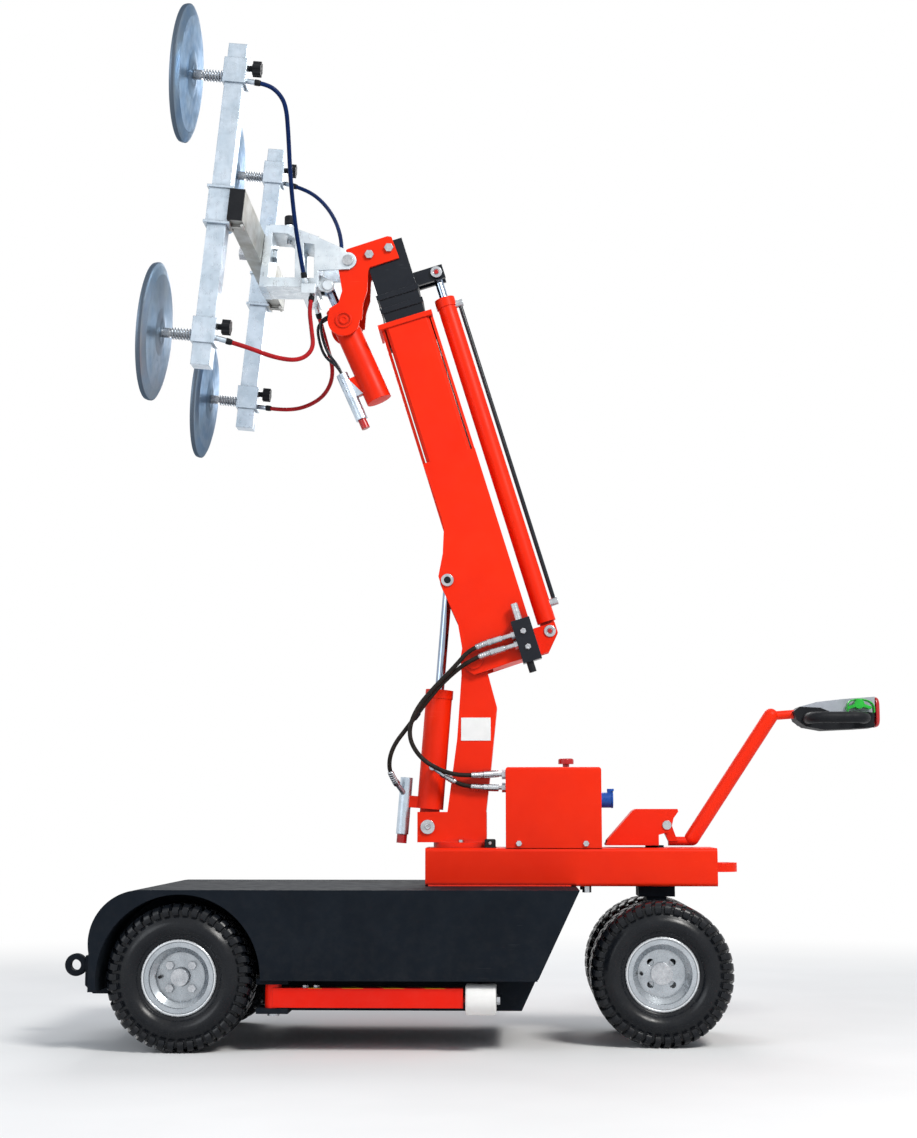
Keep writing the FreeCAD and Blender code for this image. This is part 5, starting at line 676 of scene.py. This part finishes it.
TYRE_LUGS = 42
TYRE_RIB, TYRE_SHOULDER, TYRE_SLANT = 0.016, 0.05, 0.55
TYRE_COLUMNS = ((0.0, 0), (0.3, 0), (0.6, 0), (0.645, 1), (0.8, 1), (0.955, 1))
TYRE_PROFILE = [
    (0.0800, 0.0540, 0, 0), (0.0940, 0.0540, 0, 0), (0.0965, 0.0572, 0, 0), (0.1000, 0.0592, 0, 0),
    (0.1040, 0.0600, 0, 0), (0.1052, 0.0622, 0, 0), (0.1090, 0.0656, 0, 0), (0.1130, 0.0688, 0, 0),
    (0.1170, 0.0714, 0, 0), (0.1210, 0.0733, 0, 0), (0.1250, 0.0744, 0, 0), (0.1290, 0.0746, 0, 0),
    (0.1330, 0.0740, 0, 0), (0.1370, 0.0727, 0, 0), (0.1410, 0.0708, 0, 0), (0.1450, 0.0684, 0, 0),
    (0.1490, 0.0657, 0, 0), (0.1530, 0.0634, 0, 0), (0.1552, 0.0690, 0, -0.0056),
    (0.1600, 0.0716, -0.0015, -0.0082), (0.1660, 0.0720, -0.0036, -0.0085),
    (0.1730, 0.0690, -0.0060, -0.0060), (0.1790, 0.0640, -0.0076, -0.0048),
    (0.1826, 0.0565, -0.0082, -0.0020), (0.1840, 0.0500, -0.0084, 0),
    (0.1840, 0.0400, -0.0084, 0), (0.1786, 0.0388, -0.0030, 0), (0.1786, 0.0348, -0.0030, 0),
    (0.1840, 0.0336, -0.0084, 0), (0.1840, 0.0168, -0.0080, 0), (0.1776, 0.0150, 0, 0),
    (0.1776, 0.0088, 0, 0), (0.1840, 0.0070, -0.0040, 0),
]


def tyre_mesh(name, x, y):
    rows = [(r, -w, dr, -dw) for r, w, dr, dw in TYRE_PROFILE] + list(reversed(TYRE_PROFILE))
    period = 2 * math.pi / TYRE_LUGS
    rings = []
    for radius, wide, dr, dw in rows:
        slant = TYRE_SLANT * max(0.0, abs(wide) - TYRE_RIB) / TYRE_SHOULDER
        shift = slant + (0.5 if wide > 0 else 0.0)
        ring = []
        for lug in range(TYRE_LUGS):
            for share, low in TYRE_COLUMNS:
                angle = period * (lug + share + shift)
                size = radius + dr * low
                ring.append((x + size * math.cos(angle), y + wide + dw * low,
                             WHEEL_RADIUS + size * math.sin(angle)))
        rings.append(ring)
    return loft(name, rings, hollow=True)


for place, side, x, y in wheels():
    name = place + "_tyre_" + side
    tyre = make(name + "_rubber", tyre_mesh(name + "_rubber", x, y), "tyre_rubber", place + "_wheel_" + side,
                crease=28)
    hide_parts(name)


# Turned and hexagonal fittings: rings of a profile about an axis, from the seat outwards
def turned(name, body, material, place, axis, profile, sides=32, hollow=False):
    axis = Vector(axis)
    across = axis.orthogonal().normalized()
    side = axis.cross(across)
    rings = [[place + axis * along + (across * c + side * s) * radius for c, s in circle(sides)]
             for along, radius in profile]
    return make(name, loft(name, rings, hollow), material, body, crease=30)


# Profiles (length from the seat, radius), and the places (x, z) of pins

WASHER = [(-0.001, 0.0165), (0.003, 0.0165), (0.004, 0.0155), (0.004, 0.0085), (0.0025, 0.0075)]
BUTTON = [(-0.001, 0.0064), (0.0042, 0.0064), (0.0055, 0.0048)]
INSERT = [(-0.001, 0.0095), (0.0012, 0.0095), (0.002, 0.0084)]
CENTRE = [(-0.001, 0.0125), (0.0025, 0.0125), (0.0035, 0.0115), (0.0035, 0.0070), (0.0015, 0.0060)]
LIP = [(-0.0005, 0.0888), (0.0012, 0.0890), (0.0021, 0.0900), (0.0024, 0.0917), (0.0019, 0.0933),
       (0.0006, 0.0943), (-0.0005, 0.0943)]
HEXAGON = [(-0.001, 0.0085), (0.0052, 0.0085), (0.0064, 0.0072), (0.0064, 0.0040), (0.0056, 0.0034)]
RIM_FACE = 0.058
EAR_PIN = (-0.067, 1.224)
LIFT_PIN = (-0.120, 0.557)
TELESCOPE_X, TELESCOPE_TOP = 0.1215, 1.082
for side, out in SIDES:
    axis = (0, out, 0)
    for name, body, place in (("foot", "boom", on_boom(TELESCOPE_X, out * 0.024, 0.018)),
                              ("top", "boom_inner", on_boom(TELESCOPE_X, out * 0.032, TELESCOPE_TOP))):
        turned("telescope_" + name + "_washer_" + side, body, "steel", place, axis, WASHER)
        turned("telescope_" + name + "_button_" + side, body, "red_plastic", place, axis, BUTTON)
    turned("ear_pin_insert_" + side, "boom", "black_plastic",
           Vector((EAR_PIN[0], out * 0.070, EAR_PIN[1])), axis, INSERT)
    turned("lift_pin_bolt_" + side, "chassis", "steel",
           Vector((LIFT_PIN[0], out * 0.054, LIFT_PIN[1])), axis, HEXAGON, 6)
    turned("trunnion_centre_" + side, "tilt_barrel", "red_paint", on_tilt(0, out * 0.054, 0), axis, CENTRE)
    for count, x in enumerate((-0.414, -0.386)):
        turned("outrigger_bolt_%d_%s" % (count, side), "outrigger_" + side, "steel",
               Vector((x, out * 0.31, 0.1605)), (0, 0, 1), HEXAGON, 6)
for place, side, x, y in wheels():
    for face, way in (("outer", math.copysign(1, y)), ("inner", -math.copysign(1, y))):
        turned("_".join((place, "rim_lip", side, face)), place + "_wheel_" + side, place + "_rim",
               Vector((x, y + way * RIM_FACE, WHEEL_RADIUS)), (0, way, 0), LIP, 96, True)
for count, z in enumerate((0.032, -0.012)):
    turned("block_plug_%d" % count, "boom", "steel", on_boom(0.049, -0.105, z), (0, -1, 0), HEXAGON, 6)


# A circle's point pulled out towards the corners of a square
def squared(value, power):
    return math.copysign(abs(value) ** power, value)


# The handle's end pad: rounded rectangles (x, size, height) that shrink towards the domed end

PAD_HALF_Y, PAD_HALF_Z = 0.038, 0.041
PAD_RINGS = [(1.0645, 0.16, 0.842), (1.0897, 0.16, 0.842)] + [
    (x, size, 0.865) for x, size in ((1.0897, 0.97), (1.0904, 1.0), (1.0930, 1.0), (1.0960, 0.975),
                                     (1.0985, 0.93), (1.1005, 0.84), (1.1015, 0.70), (1.1019, 0.45))]
pad_loops = [[(x, squared(c, 0.5) * PAD_HALF_Y * size, z + squared(s, 0.5) * PAD_HALF_Z * size)
              for c, s in circle(48)] for x, size, z in PAD_RINGS]
pad = make("belly_pad", loft("belly_pad", pad_loops), "red_plastic", "belly_switch", crease=35)
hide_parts("belly_switch")


# A flat moulded strip along points, as wide as half_wide on each side across the machine
def strip_mesh(name, points, half_wide, half_thick, sizes=None):
    loops = []
    for k, point in enumerate(points):
        ahead = (points[min(k + 1, len(points) - 1)] - points[max(k - 1, 0)]).normalized()
        normal = ahead.cross(Vector((0, 1, 0)))
        size = sizes[k] if sizes else 1.0
        loops.append([point + Vector((0, squared(c, 0.5) * half_wide * size, 0))
                      + normal * squared(s, 0.7) * half_thick * size for c, s in circle(24)])
    return loft(name, loops)


# Throttle wings arch over the bar of each grip loop

WING = ((1.0085, 0.858), (1.0060, 0.872), (1.0095, 0.890), (1.0280, 0.8965), (1.0480, 0.8965),
        (1.0690, 0.890), (1.0785, 0.876), (1.0775, 0.861))
WING_Y, WING_HALF_WIDE, WING_HALF_THICK = 0.0655, 0.0125, 0.0021
for side, out in SIDES:
    name = "throttle_wing_" + side
    wing = line_points([Vector((x, out * WING_Y, z)) for x, z in WING])
    make(name, strip_mesh(name, wing, WING_HALF_WIDE, WING_HALF_THICK), "green_plastic", "throttle")


# A small rubber stop (height, size) with its screw, on the frame behind the column's flange

STOP_X, STOP_Y = 0.048, -0.066
STOP_HALF_WIDE, STOP_HALF_LONG = 0.011, 0.015
STOP_RINGS = ((0.50175, 1.10), (0.5048, 1.10), (0.5052, 1.0), (0.5215, 1.0), (0.5240, 0.93), (0.52525, 0.80))
STOP_SCREW = [(-0.001, 0.0048), (0.0012, 0.0048), (0.0022, 0.0036), (0.0022, 0.0020), (0.0012, 0.0018)]
stop_points = [Vector((STOP_X, STOP_Y, z)) for z, _ in STOP_RINGS]
stop_sizes = [size for _, size in STOP_RINGS]
make("frame_stop", strip_mesh("frame_stop", stop_points, STOP_HALF_WIDE, STOP_HALF_LONG, stop_sizes),
     "black_plastic", "chassis", crease=30)
turned("frame_stop_screw", "chassis", "steel", Vector((STOP_X, -0.077, 0.5145)), (0, -1, 0), STOP_SCREW, 6)


# Weld beads: a lumpy bead along a seam (y, z, front and rear x)

WELD_RADIUS, TONGUE_WELD_RADIUS, WELD_STEP = 0.0032, 0.0028, 0.0012
SEAMS = {"column": (0.048, 0.516, -0.084, 0.027), "frame": (0.098, 0.4025, -0.116, 0.262)}


def weld(name, start, stop, size=WELD_RADIUS):
    count = max(2, round((stop - start).length / WELD_STEP))
    points = [start.lerp(stop, k / count) for k in range(count + 1)]
    radii = [size * (1 + 0.16 * math.sin(k * 1.7) + 0.07 * math.sin(k * 0.31)) for k in range(count + 1)]
    return make(name, tube_mesh(name, points, size, 12, radii), "red_paint", "chassis")


for side, out in SIDES:
    for name, (y, z, front, rear) in SEAMS.items():
        weld(name + "_weld_" + side, Vector((front, out * y, z)), Vector((rear, out * y, z)))
for name, z in (("low", 0.438), ("high", 0.462)):
    weld("tongue_weld_" + name, Vector((0.6492, -0.044, z)), Vector((0.6492, 0.044, z)), TONGUE_WELD_RADIUS)


# Oil pipes from the tilt cylinder's valve to its rod end

TILT_PIPE_RADIUS = 0.0042
for name, y, rise in (("near", -0.010, 0.0), ("far", 0.010, 0.012)):
    places = ((-0.066, -0.129), (-0.066, -0.100), (-0.078 - rise, -0.060), (-0.075 - rise, -0.010),
              (-0.062 - rise, 0.034), (-0.046, 0.040), (-0.035, 0.040))
    route = [on_tilt(x, y, z) for x, z in places]
    piece = "tilt_pipe_" + name
    make(piece, tube_mesh(piece, line_points(route), TILT_PIPE_RADIUS, 16), "black_paint", "tilt_barrel")


# Floor, sky and lamps: the floor fades to white away from the part, and the sky is white where it is seen

WHITE = rgb(1.0, 1.0, 1.0)
FLOOR = 30
FADE_START, FADE_END = 1.6, 4.2
SKY_STRENGTH = 0.40
floor_mesh = bpy.data.meshes.new("floor")
floor_mesh.from_pydata([(-FLOOR, -FLOOR, 0), (FLOOR, -FLOOR, 0), (FLOOR, FLOOR, 0), (-FLOOR, FLOOR, 0)], [],
                       [(0, 1, 2, 3)])
floor = bpy.data.objects.new("floor", floor_mesh)
scene.collection.objects.link(floor)


def floor_material():
    n = new_material("floor")
    where = n.add("TexCoord").outputs["Object"]
    away = n.span(n.length(where), FADE_START, FADE_END)
    lit = n.add("BsdfDiffuse")
    shade = n.span(n.noise(where, 3.0, 3.0), 0.3, 0.7)
    n.link(n.mix(shade, rgb(0.86, 0.86, 0.86), rgb(0.84, 0.84, 0.84)), lit.inputs["Color"])
    white = n.add("Emission")
    white.inputs["Color"].default_value = WHITE
    n.between(n.math("MULTIPLY", away, n.seen()), lit, white)
    return n.owner


def sky(world):
    n = Nodes(world, "World")
    dim = n.add("Background")
    dim.inputs["Color"].default_value = rgb(0.86, 0.92, 1.0)
    dim.inputs["Strength"].default_value = SKY_STRENGTH
    white = n.add("Background")
    white.inputs["Color"].default_value = WHITE
    white.inputs["Strength"].default_value = 1.0
    n.between(n.seen(), dim, white)


floor_mesh.materials.append(floor_material())
scene.world = bpy.data.worlds.new("studio")
sky(scene.world)
LAMP_AIM = Vector((0, 0, 1.0))


def lamp(name, place, size, watts, tint=(1, 1, 1)):
    data = bpy.data.lights.new(name, "AREA")
    data.size = size
    data.energy = watts
    data.color = tint
    holder = bpy.data.objects.new(name, data)
    scene.collection.objects.link(holder)
    holder.location = place
    holder.rotation_euler = (LAMP_AIM - Vector(place)).to_track_quat("-Z", "Y").to_euler()


lamp("key", (2.6, -3.6, 4.6), 1.5, 258, (1.0, 0.985, 0.95))
lamp("fill", (-3.4, -3.2, 2.4), 2.4, 52, (0.90, 0.95, 1.0))
lamp("back", (-0.5, 3.8, 3.6), 2.4, 85)


# Materials of the CAD nodes; a node with several finishes gives each face its own by where it lies
def dress(node, material, *others):
    piece = NODES[node]
    piece.data.materials.clear()
    piece.data.materials.append(MAT[material])
    for name, _ in others:
        piece.data.materials.append(MAT[name])
    for polygon in piece.data.polygons:
        polygon.material_index = 0
        for k, (_, inside) in enumerate(others):
            if inside(polygon.center):
                polygon.material_index = k + 1


PLAIN = {
    "red_paint": ["main_frame", "control_box", "tiller_tube", "knee_plates"],
    "graphite_paint": ["chassis_shell", "tray", "tow_eye", "drive_axle", "steer_fork", "power_pack"],
    "zinc_steel": ["cup_tubes"],
    "steel": ["frame_bolts", "knee_bolts"],
    "tyre_rubber": ["front_tyre_left", "front_tyre_right", "rear_tyre_left", "rear_tyre_right"],
    "chromed_rod": ["telescope_rod", "lift_rod", "tilt_rod"],
    "spring_steel": ["cup_springs"],
    "white_plastic": ["roller_left", "roller_right"],
    "red_plastic": ["stop_button", "belly_switch"],
    "green_plastic": ["throttle"],
    "blue_plastic": ["charge_socket", "charge_lid"],
}
for material, nodes in PLAIN.items():
    for node in nodes:
        dress(node, material)


# A test of places in a leaning frame
def seen_in(matrix, test):
    inverse = matrix.inverted()
    return lambda p: test(inverse @ p)


# The line (x, z) between the handle's black lower shell and its grey top

HANDLE_LINE = ((0.86, 0.879), (0.884, 0.8785), (0.940, 0.8755), (0.985, 0.8575), (1.020, 0.8665),
               (1.11, 0.861))


def over_handle_line(p):
    for (x0, z0), (x1, z1) in zip(HANDLE_LINE, HANDLE_LINE[1:]):
        if x0 <= p.x <= x1:
            return abs(p.y) < 0.0425 and p.z > z0 + (z1 - z0) * (p.x - x0) / (x1 - x0) - 0.0002
    return False


# The seal on a cup's glass side: past a line (radius, share of the depth) that follows the plate's back

CUP_BACK = ((0.0, 0.0), (0.03, 0.0), (0.062, 0.28), (0.15, 0.44), (0.172, 0.78), (0.181, 1.0))


def beside_cup(y, z):
    def test(q):
        r = math.hypot(q.y - y, q.z - z)
        for (r0, d0), (r1, d1) in zip(CUP_BACK, CUP_BACK[1:]):
            if r0 <= r <= r1:
                depth = d0 + (d1 - d0) * (r - r0) / (r1 - r0)
                return 0.13 < r < 0.1745 and q.x < -0.1653 - 0.018 * depth
        return False
    return test


# Faces behind x that are near an axis of the yoke
def near_axis(y, z, x, radius):
    return seen_in(YOKE, lambda q: q.x > x and math.hypot(q.y - y, q.z - z) < radius)


# Faces of a wheel between two radii and two depths, such as its cap or its bolts, and the valve

CAP_RADIUS = {"front": 0.0226, "rear": 0.0284}
VALVE_REACH, VALVE_RADIUS = 0.052, 0.0046


def wheel_part(x, y, low, high, near, far):
    out = 1 if y < 0 else -1
    return lambda p: near < out * (p.y - y) < far and low < math.hypot(p.x - x, p.z - WHEEL_RADIUS) < high


def valve(x, y):
    return lambda p: (math.hypot(p.x - x + VALVE_REACH, p.z - WHEEL_RADIUS) < VALVE_RADIUS
                      and abs(p.y) > abs(y) + 0.0165)


dress("column", "red_paint", ("white_plate", lambda p: p.y < -0.0481 and p.z > 0.78))
dress("pivot_pins", "steel", ("red_paint", lambda p: math.hypot(p.x - 0.005, p.z - 1.005) < 0.03))
dress("tiller_bracket", "red_paint", ("steel", lambda p: abs(p.y) > 0.0401))
dress("tiller_head", "black_plastic", ("grey_plastic", over_handle_line))
dress("boom_outer", "red_paint",
      ("steel", lambda p: abs(p.y) > 0.0651 and math.hypot(p.x - EAR_PIN[0], p.z - EAR_PIN[1]) < 0.018))
dress("valve_block", "black_paint", ("steel", seen_in(BOOM, lambda q: q.x < 0.0239 or q.z > 0.0661)),
      ("black_plastic", seen_in(BOOM, lambda q: q.z < -0.0521)))
dress("telescope_barrel", "red_paint",
      ("steel", seen_in(BOOM, lambda q: q.z < 0.045 and abs(q.y) > 0.0131)),
      ("black_paint", seen_in(BOOM, lambda q: q.x > 0.1507)),
      ("steel", seen_in(BOOM, lambda q: q.x > 0.1507 and min(abs(q.z - 0.095), abs(q.z - 0.985)) < 0.0115)))
dress("boom_inner", "black_paint",
      ("steel", seen_in(BOOM, lambda q: abs(q.y) > 0.0261
                        and math.hypot(q.x - TELESCOPE_X, q.z - TELESCOPE_TOP) < 0.0105)))
dress("lift_barrel", "red_paint", ("zinc_steel", seen_in(LIFT, lambda q: q.x < -0.05 or q.y < -0.0385)),
      ("red_plastic", seen_in(LIFT, lambda q: q.x < -0.05 and q.z < -0.0249)),
      ("black_plastic", seen_in(LIFT, lambda q: q.x < -0.0385 and q.z > 0.30)))
dress("tilt_barrel", "red_paint", ("zinc_steel", seen_in(TILT, lambda q: q.x < -0.045)),
      ("red_plastic", seen_in(TILT, lambda q: q.x < -0.045 and q.z < -0.2701)))
dress("head_frame", "head_zinc", ("steel", seen_in(YOKE, lambda q: q.x < -0.0205)))
dress("yoke_beam", "shaded_beam_zinc", ("zinc_steel", seen_in(YOKE, lambda q: q.x < -0.0185 and abs(q.y) > 0.335)),
      ("black_plastic", lambda p: abs(p.y) > 0.41205))
dress("cup_holders", "zinc_steel", *[("black_plastic", near_axis(y, z + 0.028, -0.016, 0.0287))
                                     for y, z in CUPS.values()])
dress("index_plunger", "steel", ("black_plastic", lambda p: p.z > 2.2562))
for cup, (y, z) in CUPS.items():
    dress(cup, cup + "_metal", ("seal_rubber", seen_in(YOKE, beside_cup(y, z))),
          ("steel", near_axis(y, z, -0.1595, 0.031)))
for side, _ in SIDES:
    dress("outrigger_" + side, "taped_paint", ("steel", lambda p: p.x > 0.0664))
for place, side, x, y in wheels():
    finishes = [("steel", wheel_part(x, y, 0.0, CAP_RADIUS[place], -0.06, -0.0165))]
    if place == "front":
        finishes.append(("steel", wheel_part(x, y, 0.028, 0.0515, -0.0335, -0.0221)))
    dress(place + "_rim_" + side, place + "_rim", *finishes, ("black_plastic", valve(x, y)))
